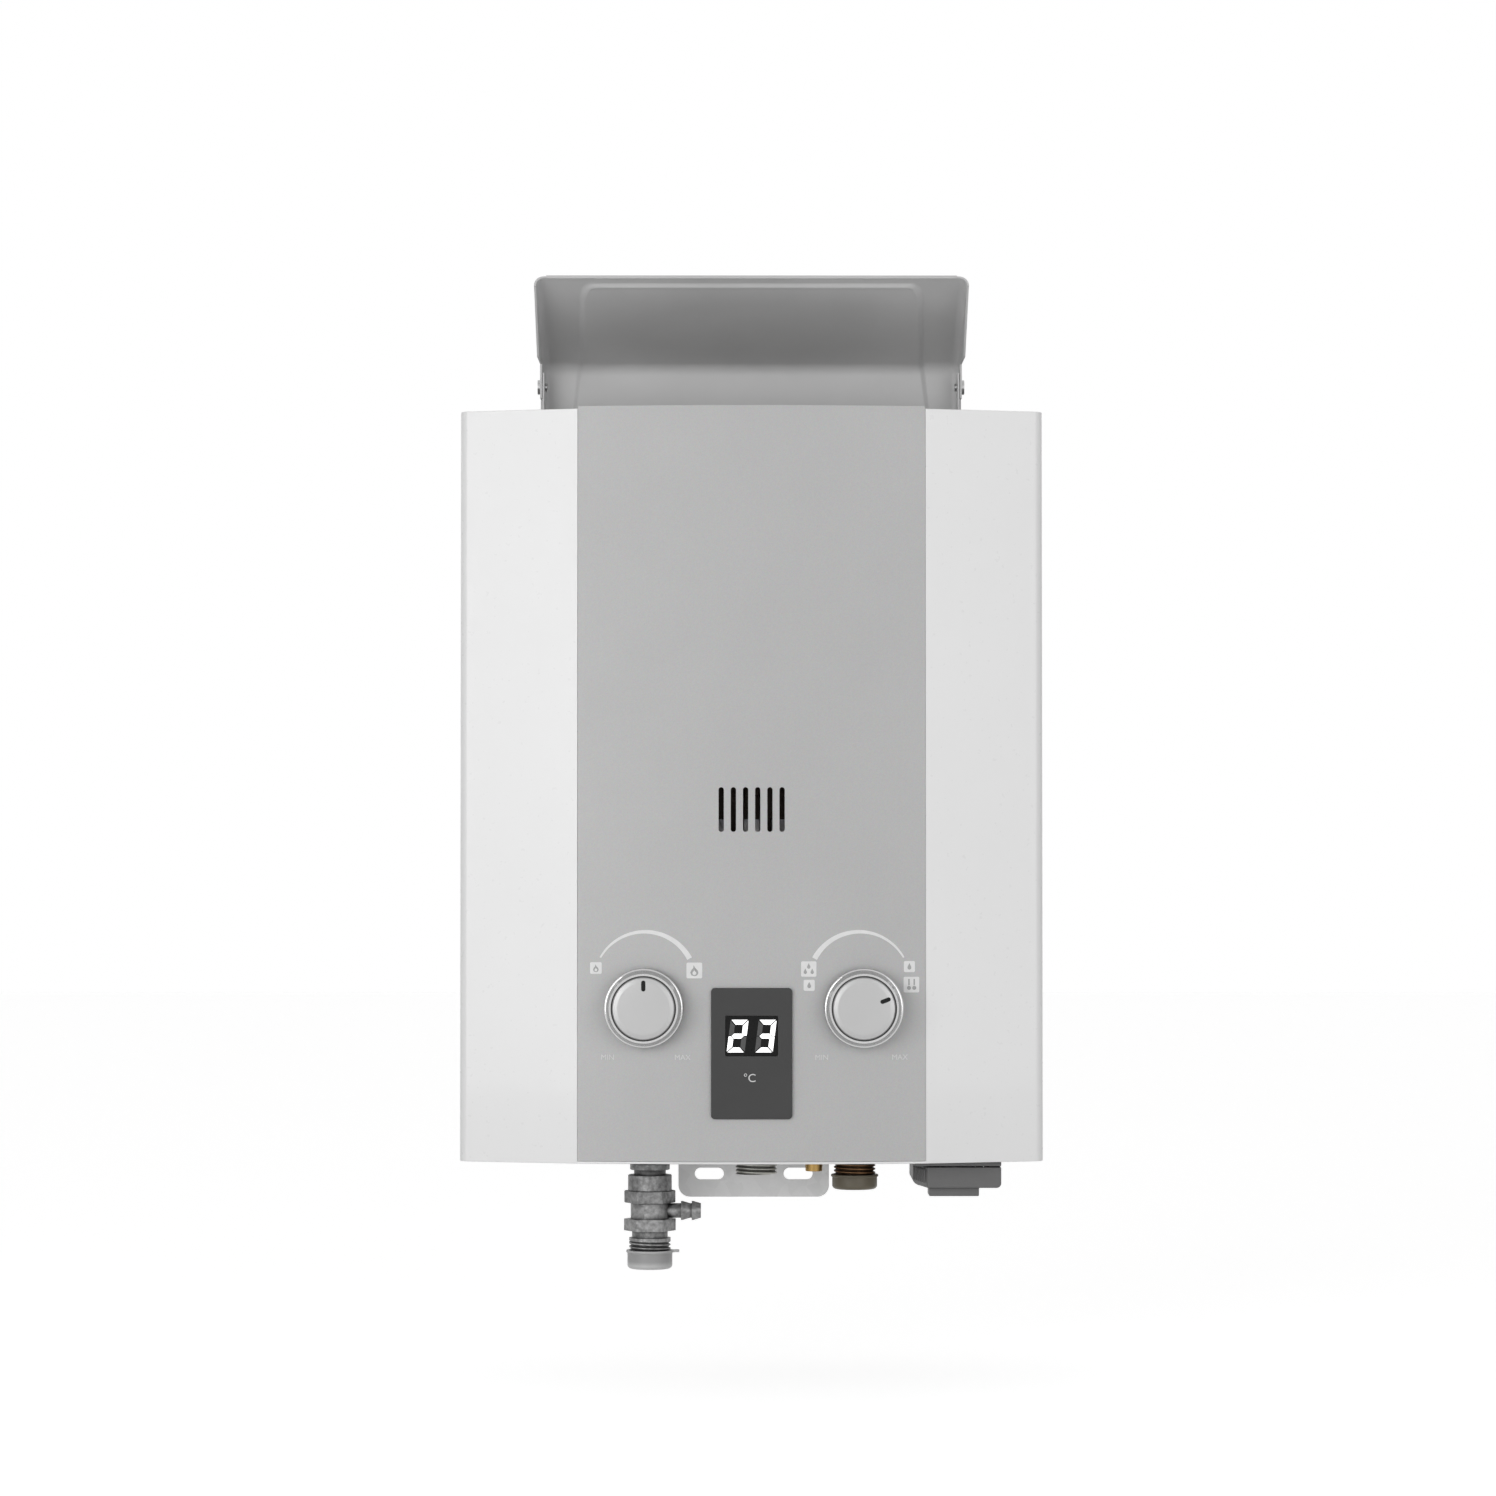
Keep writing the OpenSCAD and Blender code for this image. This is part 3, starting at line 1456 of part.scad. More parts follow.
module outlet_stub() {
    color("darkgray") translate([outlet_x, -port_y, 0]) difference() {
        union() {
            translate([0, 0, stub_end]) cylinder(d = neck_d, h = hot_end_z - stub_end);
            translate([0, 0, stub_flange_z]) cylinder(d = neck_d + 2 * stub_flange_w, h = stub_flange_t);
            translate([0, 0, hot_end_z - nut_h]) cylinder(d = stub_nut_d, h = nut_h, $fn = 6);
        }
        translate([0, 0, stub_end - over]) cylinder(d = stub_bore, h = hot_end_z - stub_end - bore_stop);
    }
}

module outlet_union() {
    color("darkgray") translate([outlet_x, -port_y, 0]) difference() {
        union() {
            translate([0, 0, relief_top]) cylinder(d = collar_top_d, h = union_top - relief_top);
            translate([0, 0, relief_top]) cylinder(d = hex_d, h = union_hex - relief_top, $fn = 6);
        }
        translate([0, 0, stub_end]) cylinder(d = neck_d + 2 * run, h = union_top - stub_end + over);
    }
}

// Relief valve: stem with a hexagon and a threaded end, and a barbed outlet on its right side
module relief_valve() {
    r = barb_d / 2;
    neck = barb_neck_d / 2;
    reach = body_d / 2 + barb_reach;
    second = reach - barb_tooth;
    first = second - barb_tooth - barb_land;
    color("gray") translate([outlet_x, -port_y, 0]) difference() {
        union() {
            translate([0, 0, relief_hex]) cylinder(d = body_d, h = relief_top - relief_hex);
            translate([0, 0, relief_neck]) cylinder(d = hex_d, h = relief_hex - relief_neck, $fn = 6);
            translate([0, 0, relief_thread]) cylinder(d = shank_d, h = relief_neck - relief_thread);
            translate([0, 0, relief_end]) cylinder(d = thread_d, h = relief_thread - relief_end);
            translate([0, 0, barb_z]) rotate([0, 90, 0]) rotate_extrude() polygon([
                [0, 0], [neck, 0], [neck, first], [r, first], [r, first + barb_land],
                [neck, second - barb_land], [neck, second], [r, second], [r, second + barb_land],
                [neck, reach], [0, reach]
            ]);
        }
        translate([0, 0, relief_end - over]) cylinder(d = port_bore, h = relief_hex - relief_end);
    }
}

// Plan of the battery box with a pocket for each cell
function cell_spots() = [for (s = [-1, 1]) [box_x, -box_back - box_d / 2 + s * cell_d / 2]];
function ear_spots() = [door_left + ear_inset, door_right - ear_inset - ear_w];

module hinge_profile(d) {
    translate([hinge_y, hinge_z]) circle(d = d);
}

module battery_box() {
    mid = -box_back - box_d / 2;
    color("dimgray") difference() {
        union() {
            translate([box_x - box_w / 2, box_front, -rim_t]) cube([box_w, box_d, box_top + rim_t]);
            translate([door_left, door_front, -rim_t])
                cube([door_right - door_left, door_back - door_front, rim_t + bottom_z - seat]);
            for (x = ear_spots()) across(x, ear_w) {
                hinge_profile(knuckle_d);
                translate([hinge_y - knuckle_d / 2, hinge_z]) square([knuckle_d, -rim_t - hinge_z]);
            }
        }
        for (p = cell_spots()) translate([p[0], p[1], -rim_t - over])
            cylinder(d = cell_d + 2 * cell_play, h = box_top - box_t + rim_t + over);
        translate([box_x - cell_d / 4, mid - cell_d / 2, -rim_t - over])
            cube([cell_d / 2, cell_d, box_top - box_t + rim_t + over]);
        across(door_left - over, door_right - door_left + 2 * over) hinge_profile(hinge_d + 2 * run);
    }
}

module cells() {
    color("steelblue") for (i = [0, 1]) translate([cell_spots()[i][0], cell_spots()[i][1], cell_z]) {
        translate([0, 0, i * nub_h]) cylinder(d = cell_d, h = cell_h - nub_h);
        translate([0, 0, i == 0 ? cell_h - nub_h - over : 0]) cylinder(d = nub_d, h = nub_h + over);
    }
}

module cell_contacts() {
    color("silver") for (p = cell_spots()) translate([p[0], p[1], cell_z + cell_h + seat])
        cylinder(d = contact_d, h = box_top - box_t - cell_z - cell_h - seat);
}

function door_points() = [
    [door_left, hinge_y], [door_left, door_front + door_slant], [door_left + slant_in, door_front],
    [door_right, door_front], [door_right, hinge_y]
];

// Front view of the door on (x, z), drawn in by t, with round lower corners
module door_view(t, top) {
    left = door_left + t;
    right = door_right - t;
    low = door_top - door_h + t;
    rounded([[left, low], [right, low], [right, top], [left, top]], [door_r - t, door_r - t, 0, 0]);
}

// Space of the door's tray, drawn in by t
module door_tray(t, top) {
    intersection() {
        translate([0, 0, door_top - 2 * door_h]) linear_extrude(3 * door_h) polygon(inset(door_points(), t));
        from_front(door_front - over, door_back - door_front + 2 * over) door_view(t, top);
    }
}

// Tray-shaped door with a hinge barrel, grip ribs on its slanted side and a finger tab below
module battery_door() {
    low = door_top - door_h;
    barrel = [ear_spots()[0] + ear_w + pass, ear_spots()[1] - pass];
    slope = [slant_in, -door_slant] / (door_ribs + 1);
    color("dimgray") difference() {
        union() {
            difference() {
                door_tray(0, door_top);
                door_tray(door_wall, door_top + over);
            }
            across(barrel[0], barrel[1] - barrel[0]) hinge_profile(knuckle_d);
            for (p = cell_spots()) translate([p[0] - post_w / 2, p[1] - post_l / 2, low + door_wall / 2])
                cube([post_w, post_l, door_h - post_drop - door_wall / 2]);
            for (i = [1:door_ribs])
                translate([door_left + slope[0] * i, door_front + door_slant + slope[1] * i, low + door_r])
                    cylinder(d = rib_bead_d, h = door_h - door_r - rib_end);
            translate([grip_x - grip_w / 2, grip_y, low - grip_h])
                cube([grip_w, grip_d, grip_h + door_wall / 2]);
        }
        for (x = ear_spots()) translate([x - pass, hinge_y - knuckle_d / 2 - knuckle_room, low - over])
            cube([ear_w + 2 * pass, knuckle_d, door_h + 2 * over]);
        translate([grip_x - grip_w / 2 + grip_wall, grip_y + grip_front, low - grip_h - over])
            cube([grip_w - 2 * grip_wall, grip_d, grip_h]);
        across(door_left, door_right - door_left) hinge_profile(hinge_d + 2 * run);
    }
}

module door_contact() {
    z = door_top - leaf_drop;
    color("silver") {
        translate([box_x - leaf_w / 2, cell_spots()[0][1] - leaf_lap, z])
            cube([leaf_w, cell_d + 2 * leaf_lap, leaf_t]);
        for (p = cell_spots()) translate([p[0], p[1], z]) cylinder(d = stud_d, h = cell_z - pass - z);
    }
}

module hinge_pin() {
    color("silver")
        rod([ear_spots()[0], hinge_y, hinge_z], [ear_spots()[1] + ear_w, hinge_y, hinge_z], hinge_d);
}

back_plate();
bottom_plate();
front_cover();
fascia();
cover_screws();
display_bezel();
led_module();
led_segments_lit();
led_segments_dark();
display_board();
gas_knob();
gas_knob_skirt();
gas_knob_pointer();
gas_spindle();
water_knob();
water_knob_skirt();
water_knob_pointer();
water_spindle();
rain_cap();
rain_cap_collar();
rain_cap_screws();
flue_collector();
combustion_chamber();
chamber_brackets();
fin_pack();
exchanger_tubes();
burner_frame();
burner_bars();
gas_manifold();
gas_riser();
ignition_electrode();
flame_sensor();
overheat_switch();
igniter_module();
gas_valve();
gas_inlet();
push_rod();
microswitch();
microswitch_lever();
water_valve();
water_valve_cover();
valve_screws();
drain_plug();
cold_inlet();
inlet_cap();
cold_pipe();
hot_pipe();
outlet_probe();
outlet_stub();
outlet_union();
relief_valve();
outlet_cap();
battery_box();
cells();
cell_contacts();
battery_door();
door_contact();
hinge_pin();
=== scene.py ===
# %% [markdown]
# # A wall-hung gas water heater
# The walls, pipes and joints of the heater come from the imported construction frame, and stay as
# they are. This lesson dresses them: it rounds the edges, gives each piece its finish, cuts threads
# and screw slots, prints the marks round the knobs, and sets up light and camera. All lengths are
# metres in the frame's own axes: x runs to the right, y into the wall and z up, with the casing's
# lower edge at z = 0.

# %% The construction frame
import json
import math

import bmesh
import bpy
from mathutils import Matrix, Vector
from mathutils.bvhtree import BVHTree

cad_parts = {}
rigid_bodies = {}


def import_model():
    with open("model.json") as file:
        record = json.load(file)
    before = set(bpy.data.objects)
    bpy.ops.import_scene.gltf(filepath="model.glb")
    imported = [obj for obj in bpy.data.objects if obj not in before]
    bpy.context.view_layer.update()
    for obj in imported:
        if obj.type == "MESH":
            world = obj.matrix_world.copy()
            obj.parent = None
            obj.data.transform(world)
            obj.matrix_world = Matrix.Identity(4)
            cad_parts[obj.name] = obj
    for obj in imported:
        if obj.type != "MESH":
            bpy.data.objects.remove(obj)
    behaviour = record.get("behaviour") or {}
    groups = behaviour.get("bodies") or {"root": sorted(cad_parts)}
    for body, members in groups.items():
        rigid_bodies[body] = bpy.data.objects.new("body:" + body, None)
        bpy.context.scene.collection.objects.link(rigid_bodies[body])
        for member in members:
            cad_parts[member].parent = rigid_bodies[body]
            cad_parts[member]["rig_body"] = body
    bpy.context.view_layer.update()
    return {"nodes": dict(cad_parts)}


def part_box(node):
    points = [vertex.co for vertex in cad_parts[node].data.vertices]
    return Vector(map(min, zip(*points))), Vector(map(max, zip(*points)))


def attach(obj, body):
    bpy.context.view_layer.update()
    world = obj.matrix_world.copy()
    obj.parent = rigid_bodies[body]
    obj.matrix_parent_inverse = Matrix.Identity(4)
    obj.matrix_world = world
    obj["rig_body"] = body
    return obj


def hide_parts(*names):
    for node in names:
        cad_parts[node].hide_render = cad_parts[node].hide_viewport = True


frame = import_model()
nodes = frame["nodes"]
MM = 0.001

# %% [markdown]
# ## Edges
# Folded sheet, castings and mouldings have no knife-sharp edge: a thin line of light runs along
# each of them. A Bevel modifier gives every sharp edge its own radius, and leaves the mesh of the
# frame as it is. The Weld before it joins the faces, which arrive separately, and a planar Decimate
# turns the triangles of a flat face into one face again, because a bevel that meets stray triangle
# edges throws out spikes. The node group after it shades smoothly across small angles and keeps the
# real corners, and Weighted Normal keeps the flat faces flat.

# %% Soft edges
def smooth_by_angle(limit):
    group = bpy.data.node_groups.new("smooth below the angle", "GeometryNodeTree")
    for way in ("INPUT", "OUTPUT"):
        group.interface.new_socket("Geometry", in_out=way, socket_type="NodeSocketGeometry")
    enter = group.nodes.new("NodeGroupInput")
    leave = group.nodes.new("NodeGroupOutput")
    plain = group.nodes.new("GeometryNodeRemoveAttribute")
    plain.inputs["Name"].default_value = "custom_normal"
    faces = group.nodes.new("GeometryNodeSetShadeSmooth")
    edges = group.nodes.new("GeometryNodeSetShadeSmooth")
    edges.domain = "EDGE"
    edges.inputs["Shade Smooth"].default_value = False
    angle = group.nodes.new("GeometryNodeInputMeshEdgeAngle")
    wide = group.nodes.new("FunctionNodeCompare")
    wide.operation = "GREATER_THAN"
    wide.inputs[1].default_value = math.radians(limit)
    link = group.links.new
    link(enter.outputs[0], plain.inputs[0])
    link(plain.outputs[0], faces.inputs[0])
    link(faces.outputs[0], edges.inputs[0])
    link(angle.outputs["Unsigned Angle"], wide.inputs[0])
    link(wide.outputs[0], edges.inputs["Selection"])
    link(edges.outputs[0], leave.inputs[0])
    return group


smooth_group = smooth_by_angle(38)


def soften(obj, radius, steps=2):
    weld = obj.modifiers.new("joined faces", "WELD")
    weld.merge_threshold = 1e-6
    if radius > 0:
        flat = obj.modifiers.new("whole flat faces", "DECIMATE")
        flat.decimate_type = "DISSOLVE"
        flat.angle_limit = math.radians(0.5)
        bevel = obj.modifiers.new("rounded edges", "BEVEL")
        bevel.width = radius * MM
        bevel.segments = steps
        bevel.limit_method = "ANGLE"
        bevel.angle_limit = math.radians(40)
        bevel.use_clamp_overlap = False
        bevel.miter_outer = "MITER_ARC"
    smooth = obj.modifiers.new("smooth shading", "NODES")
    smooth.node_group = smooth_group
    even = obj.modifiers.new("flat faces stay flat", "WEIGHTED_NORMAL")
    even.keep_sharp = True


# %% [markdown]
# The fascia is a wide, shallow arch. Its triangles run to the holes at odd angles, and shading that
# is averaged from them shows streaks. The arch is a cylinder, so the true direction at each point
# is known: straight away from the axis of the arch. A second node group sets it on the faces that
# lie on the arch.

# %% The arch of the fascia
arch = [v.co for v in nodes["fascia"].data.vertices]
crown_y = min(v.y for v in arch)
half_width = max(v.x for v in arch)
edge_y = min(v.y for v in arch if v.x > half_width - 0.5 * MM)
sag = edge_y - crown_y
arch_radius = (half_width ** 2 + sag ** 2) / (2 * sag)


def on_fascia(x, lift=0.0):
    """The y of the fascia's front at x, or of a layer that stands proud of it by lift."""
    return crown_y + arch_radius - math.sqrt(arch_radius ** 2 - x * x) - lift


def arch_normals():
    group = bpy.data.node_groups.new("directions of the arch", "GeometryNodeTree")
    for way in ("INPUT", "OUTPUT"):
        group.interface.new_socket("Geometry", in_out=way, socket_type="NodeSocketGeometry")
    add, link = group.nodes.new, group.links.new
    enter, leave = add("NodeGroupInput"), add("NodeGroupOutput")
    place = add("GeometryNodeInputPosition")
    away = add("ShaderNodeVectorMath")
    away.operation = "SUBTRACT"
    away.inputs[1].default_value = (0, crown_y + arch_radius, 0)
    level = add("ShaderNodeVectorMath")
    level.operation = "MULTIPLY"
    level.inputs[1].default_value = (1, 1, 0)
    unit = add("ShaderNodeVectorMath")
    unit.operation = "NORMALIZE"
    link(place.outputs[0], away.inputs[0])
    link(away.outputs[0], level.inputs[0])
    link(level.outputs[0], unit.inputs[0])
    normal = add("GeometryNodeInputNormal")
    along = add("ShaderNodeVectorMath")
    along.operation = "DOT_PRODUCT"
    link(normal.outputs["True Normal"], along.inputs[0])
    link(unit.outputs[0], along.inputs[1])
    whole = add("GeometryNodeFieldOnDomain")
    whole.domain = "FACE"
    link(along.outputs["Value"], whole.inputs[0])
    on_arch = add("FunctionNodeCompare")
    on_arch.operation = "GREATER_THAN"
    on_arch.inputs[1].default_value = math.cos(math.radians(4))
    link(whole.outputs[0], on_arch.inputs[0])
    pick = add("GeometryNodeSwitch")
    pick.input_type = "VECTOR"
    link(on_arch.outputs[0], pick.inputs[0])
    link(normal.outputs["Normal"], pick.inputs[1])
    link(unit.outputs[0], pick.inputs[2])
    put = add("GeometryNodeSetMeshNormal")
    put.mode = "FREE"
    put.domain = "CORNER"
    link(enter.outputs[0], put.inputs["Mesh"])
    link(pick.outputs[0], put.inputs["Custom Normal"])
    link(put.outputs[0], leave.inputs[0])
    return group


print("arch: sag", round(sag / MM, 2), "mm, radius", round(arch_radius / MM, 1), "mm")

# %% [markdown]
# The radius fits how each piece is made: a folded sheet keeps about 0.3 mm where it was sheared, a
# moulding about half a millimetre, a casting more. The fascia, the rain cap and the flat plates get
# none: a bevel would tear their long thin triangles, and the cap's bends are round in the frame
# already.

# %% Edges of each piece
edge_radius = {
    "front_cover": 0.35, "display_bezel": 0.5, "battery_box": 0.5, "battery_door": 0.6,
    "rain_cap_collar": 0.3, "inlet_cap": 0.3, "outlet_cap": 0.3,
    "outlet_union": 0.5, "relief_valve": 0.4, "gas_inlet": 0.3, "cold_inlet": 0.3,
    "drain_plug": 0.4, "outlet_stub": 0.4,
    "gas_valve": 0.8, "water_valve": 0.6, "water_valve_cover": 0.6,
}
for name, obj in nodes.items():
    soften(obj, edge_radius.get(name, 0.0))
straight = nodes["fascia"].modifiers.new("arch shading", "NODES")
straight.node_group = arch_normals()
print("rounded edges on", len(edge_radius), "pieces, smooth shading on", len(nodes))

# %% [markdown]
# ## Finishes
# Paint, plating and plastic are never one flat colour: the tone drifts a little over a hand's
# width, the gloss is uneven, and the surface has a fine grain. One helper builds that from two
# noise textures, measured in metres, so a grain of 900 to the metre is about 1 mm. Brushed and
# drawn metal stretches the grain along one axis.

# %% A finish from two noises
def tone(*levels):
    """A colour written as screen levels from 0 to 255, given to the shader as linear light."""
    levels = levels * 3 if len(levels) == 1 else levels
    shares = [v / 255 for v in levels]
    return tuple(s / 12.92 if s < 0.04045 else ((s + 0.055) / 1.055) ** 2.4 for s in shares) + (1.0,)


def shade(colour, factor):
    return tuple(min(1.0, c * factor) for c in colour[:3]) + (1.0,)


class Finish:
    """A material: patch and grain each give a noise's scale per metre and its strength."""

    def __init__(self, name, colour, rough, metal=0.0, patch=(22, 0.05), grain=(900, 0.04),
                 stretch=(1, 1, 1), coat=0.0):
        self.material = bpy.data.materials.new(name)
        self.material.use_nodes = True
        self.material.diffuse_color = colour
        self.tree = self.material.node_tree
        self.shader = self.tree.nodes["Principled BSDF"]
        self.shader.inputs["Metallic"].default_value = metal
        self.shader.inputs["Coat Weight"].default_value = coat
        self.place = self.add("TexCoord").outputs["Object"]
        turned = self.add("Mapping")
        turned.inputs["Scale"].default_value = stretch
        self.link(self.place, turned.inputs["Vector"])
        self.broad = self.noise(patch[0], 3, self.place)
        self.fine = self.noise(grain[0], 2, turned.outputs["Vector"])
        self.tint = self.add("ValToRGB")
        self.tint.color_ramp.elements[0].position = 0.3
        self.tint.color_ramp.elements[0].color = shade(colour, 1 - patch[1])
        self.tint.color_ramp.elements[1].position = 0.7
        self.tint.color_ramp.elements[1].color = shade(colour, 1 + patch[1])
        self.link(self.broad, self.tint.inputs["Fac"])
        self.link(self.tint.outputs["Color"], self.shader.inputs["Base Color"])
        gloss = self.add("MapRange")
        gloss.inputs["From Min"].default_value = 0.3
        gloss.inputs["From Max"].default_value = 0.7
        gloss.inputs["To Min"].default_value = rough * 0.85
        gloss.inputs["To Max"].default_value = min(1.0, rough * 1.15)
        self.link(self.fine, gloss.inputs["Value"])
        self.link(gloss.outputs["Result"], self.shader.inputs["Roughness"])
        self.relief = self.add("Bump")
        self.relief.inputs["Strength"].default_value = grain[1]
        self.relief.inputs["Distance"].default_value = 0.0006
        self.link(self.fine, self.relief.inputs["Height"])
        self.link(self.relief.outputs["Normal"], self.shader.inputs["Normal"])

    def add(self, kind):
        return self.tree.nodes.new("ShaderNode" + kind)

    def link(self, a, b):
        self.tree.links.new(a, b)

    def painted_crevice_shade(self, reach, darkest):
        """Paints shade into the corners and crevices that lie within reach, in metres, of another face.
        """
        corner = self.add("AmbientOcclusion")
        corner.inputs["Distance"].default_value = reach
        depth = self.add("MapRange")
        depth.inputs["From Min"].default_value = 0.35
        depth.inputs["From Max"].default_value = 0.95
        depth.inputs["To Min"].default_value = darkest
        dark = self.add("MixRGB")
        dark.blend_type = "MULTIPLY"
        dark.inputs["Fac"].default_value = 1.0
        self.link(corner.outputs["AO"], depth.inputs["Value"])
        self.link(self.tint.outputs["Color"], dark.inputs["Color1"])
        self.link(depth.outputs["Result"], dark.inputs["Color2"])
        self.link(dark.outputs["Color"], self.shader.inputs["Base Color"])

    def noise(self, scale, detail, place):
        node = self.add("TexNoise")
        node.inputs["Scale"].default_value = scale
        node.inputs["Detail"].default_value = detail
        self.link(place, node.inputs["Vector"])
        return node.outputs["Fac"]


finishes = {}


def finish(name, colour, rough, **detail):
    """Makes a finish and keeps it under its name."""
    finishes[name] = Finish(name, colour, rough, **detail)
    return finishes[name]


def wear(name, *node_names):
    for node_name in node_names:
        mesh = nodes[node_name].data
        mesh.materials.clear()
        mesh.materials.append(finishes[name].material)


print("white reads as", [round(c, 3) for c in tone(235)[:3]])

# %% [markdown]
# ## Painted steel
# The cover is sheet steel with a white stove enamel: smooth, with the faint orange skin that
# sprayed paint sets to. The fascia has a satin silver paint whose flakes glint, and the rain cap a
# plain gray one. The flakes are a fine Voronoi pattern added to the colour.

# %% Enamel, silver paint, gray paint
finish("white enamel", tone(235), 0.32, patch=(9, 0.012), grain=(420, 0.03), coat=0.25)
silver = finish("silver paint", tone(184), 0.5, metal=0.1, patch=(14, 0.02), grain=(1500, 0.04))
gray_paint = finish("gray paint", tone(203), 0.5, patch=(18, 0.04), grain=(700, 0.05))
flakes = silver.add("TexVoronoi")
flakes.inputs["Scale"].default_value = 2600
silver.link(silver.place, flakes.inputs["Vector"])
glint = silver.add("MixRGB")
glint.blend_type = "OVERLAY"
glint.inputs["Fac"].default_value = 0.06
silver.link(silver.tint.outputs["Color"], glint.inputs["Color1"])
silver.link(flakes.outputs["Color"], glint.inputs["Color2"])
silver.link(glint.outputs["Color"], silver.shader.inputs["Base Color"])
wear("white enamel", "front_cover")
wear("silver paint", "fascia")
wear("gray paint", "rain_cap", "rain_cap_collar")
print("paints:", sorted(finishes))

# %% [markdown]
# Shade is painted into the gray paint under the roof of the rain cap, where the deep middle of
# the hood gets less light: strongest in the middle under the roof, and weaker towards the rim. A
# round gradient, stretched over the roof and placed by the box of the cap, darkens the paint there.

# %% Painted shade under the roof
# These set the painted shade: the share of colour left at its darkest, how far it reaches and how high it
# stands.
ROOF_SHADE = 0.82
ROOF_SHADE_REACH = 62 * MM
ROOF_SHADE_HEIGHT = 34 * MM
cap_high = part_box("rain_cap")[1]
spread = gray_paint.add("Mapping")
spread.vector_type = "TEXTURE"
spread.inputs["Location"].default_value = (0, cap_high.y - 40 * MM, cap_high.z - 22 * MM)
spread.inputs["Scale"].default_value = (1.24 * cap_high.x, ROOF_SHADE_REACH, ROOF_SHADE_HEIGHT)
gray_paint.link(gray_paint.place, spread.inputs["Vector"])
shade_spot = gray_paint.add("TexGradient")
shade_spot.gradient_type = "SPHERICAL"
gray_paint.link(spread.outputs["Vector"], shade_spot.inputs["Vector"])
shade_depth = gray_paint.add("MapRange")
shade_depth.interpolation_type = "SMOOTHSTEP"
shade_depth.inputs["From Max"].default_value = 0.6
shade_depth.inputs["To Min"].default_value = 1.0
shade_depth.inputs["To Max"].default_value = ROOF_SHADE
gray_paint.link(shade_spot.outputs["Fac"], shade_depth.inputs["Value"])
roof_shaded = gray_paint.add("MixRGB")
roof_shaded.blend_type = "MULTIPLY"
roof_shaded.inputs["Fac"].default_value = 1.0
gray_paint.link(gray_paint.tint.outputs["Color"], roof_shaded.inputs["Color1"])
gray_paint.link(shade_depth.outputs["Result"], roof_shaded.inputs["Color2"])
gray_paint.link(roof_shaded.outputs["Color"], gray_paint.shader.inputs["Base Color"])
print("painted_shade takes", round((1 - ROOF_SHADE) * 100), "percent of the light")

# %% [markdown]
# ## Bare sheet metal
# The rear plate, the bottom and the flue box are zinc-coated sheet. Hot-dip zinc freezes into flat
# crystals some millimetres wide, the spangle, and each crystal reflects a little differently. A
# Voronoi pattern gives each crystal its own gray and gloss.

# %% Zinc-coated sheet
SPANGLE = 160


def spangle(name, colour, rough, size):
    made = finish(name, colour, rough, metal=0.85, patch=(16, 0.05), grain=(800, 0.03))
    crystals = made.add("TexVoronoi")
    crystals.inputs["Scale"].default_value = size
    made.link(made.place, crystals.inputs["Vector"])
    facets = made.add("MixRGB")
    facets.blend_type = "SOFT_LIGHT"
    facets.inputs["Fac"].default_value = 0.12
    gray = made.add("RGBToBW")
    made.link(crystals.outputs["Color"], gray.inputs["Color"])
    made.link(made.tint.outputs["Color"], facets.inputs["Color1"])
    made.link(gray.outputs["Val"], facets.inputs["Color2"])
    made.link(facets.outputs["Color"], made.shader.inputs["Base Color"])


spangle("zinc sheet", tone(186), 0.42, SPANGLE)
spangle("aluminised sheet", tone(165), 0.5, 90)
wear("zinc sheet", "back_plate", "bottom_plate", "chamber_brackets")
wear("aluminised sheet", "flue_collector", "burner_frame")
print("zinc crystals are about", round(1000 / SPANGLE, 1), "mm wide")

# %% [markdown]
# ## Plastics
# The bezel, the battery box and its door are moulded in dark plastic with a fine spark-eroded
# grain. The display window is a smoked, glossy plate, and its lit bars glow through it.

# %% Mouldings and the display
finish("bezel plastic", tone(62), 0.45, patch=(30, 0.05), grain=(2200, 0.08))
finishes["bezel plastic"].shader.inputs["Specular IOR Level"].default_value = 0.3
finish("box plastic", tone(104), 0.5, patch=(40, 0.06), grain=(1800, 0.12))
finish("door plastic", tone(98), 0.48, patch=(40, 0.06), grain=(1800, 0.12))
finish("smoked window", tone(14), 0.3, patch=(60, 0.08), grain=(500, 0.01))
finishes["smoked window"].shader.inputs["Specular IOR Level"].default_value = 0.15
finish("unlit bar", tone(70), 0.4, patch=(120, 0.08), grain=(1500, 0.03))
finish("lit bar", tone(250), 0.4, patch=(150, 0.02), grain=(1500, 0.02))
finishes["lit bar"].shader.inputs["Emission Color"].default_value = tone(255)
finishes["lit bar"].shader.inputs["Emission Strength"].default_value = 1.1
finish("black plastic", tone(34), 0.4, patch=(40, 0.1), grain=(1500, 0.08))
finish("pointer ink", tone(16), 0.55, patch=(120, 0.1), grain=(1800, 0.05))
finishes["pointer ink"].shader.inputs["Specular IOR Level"].default_value = 0.2
finish("circuit board", tone(28, 74, 44), 0.35, patch=(260, 0.3), grain=(900, 0.03), coat=0.2)
# painted shade: darkens the gap round the battery door and the corners of box and door
for name in ("box plastic", "door plastic"):
    finishes[name].painted_crevice_shade(reach=0.003, darkest=0.15)
wear("bezel plastic", "display_bezel")
wear("box plastic", "battery_box", "igniter_module")
wear("door plastic", "battery_door")
wear("smoked window", "led_module")
wear("unlit bar", "led_segments_dark")
wear("lit bar", "led_segments_lit")
wear("black plastic", "microswitch", "overheat_switch")
wear("pointer ink", "gas_knob_pointer", "water_knob_pointer")
wear("circuit board", "display_board")
print("plastics done, finishes so far:", len(finishes))
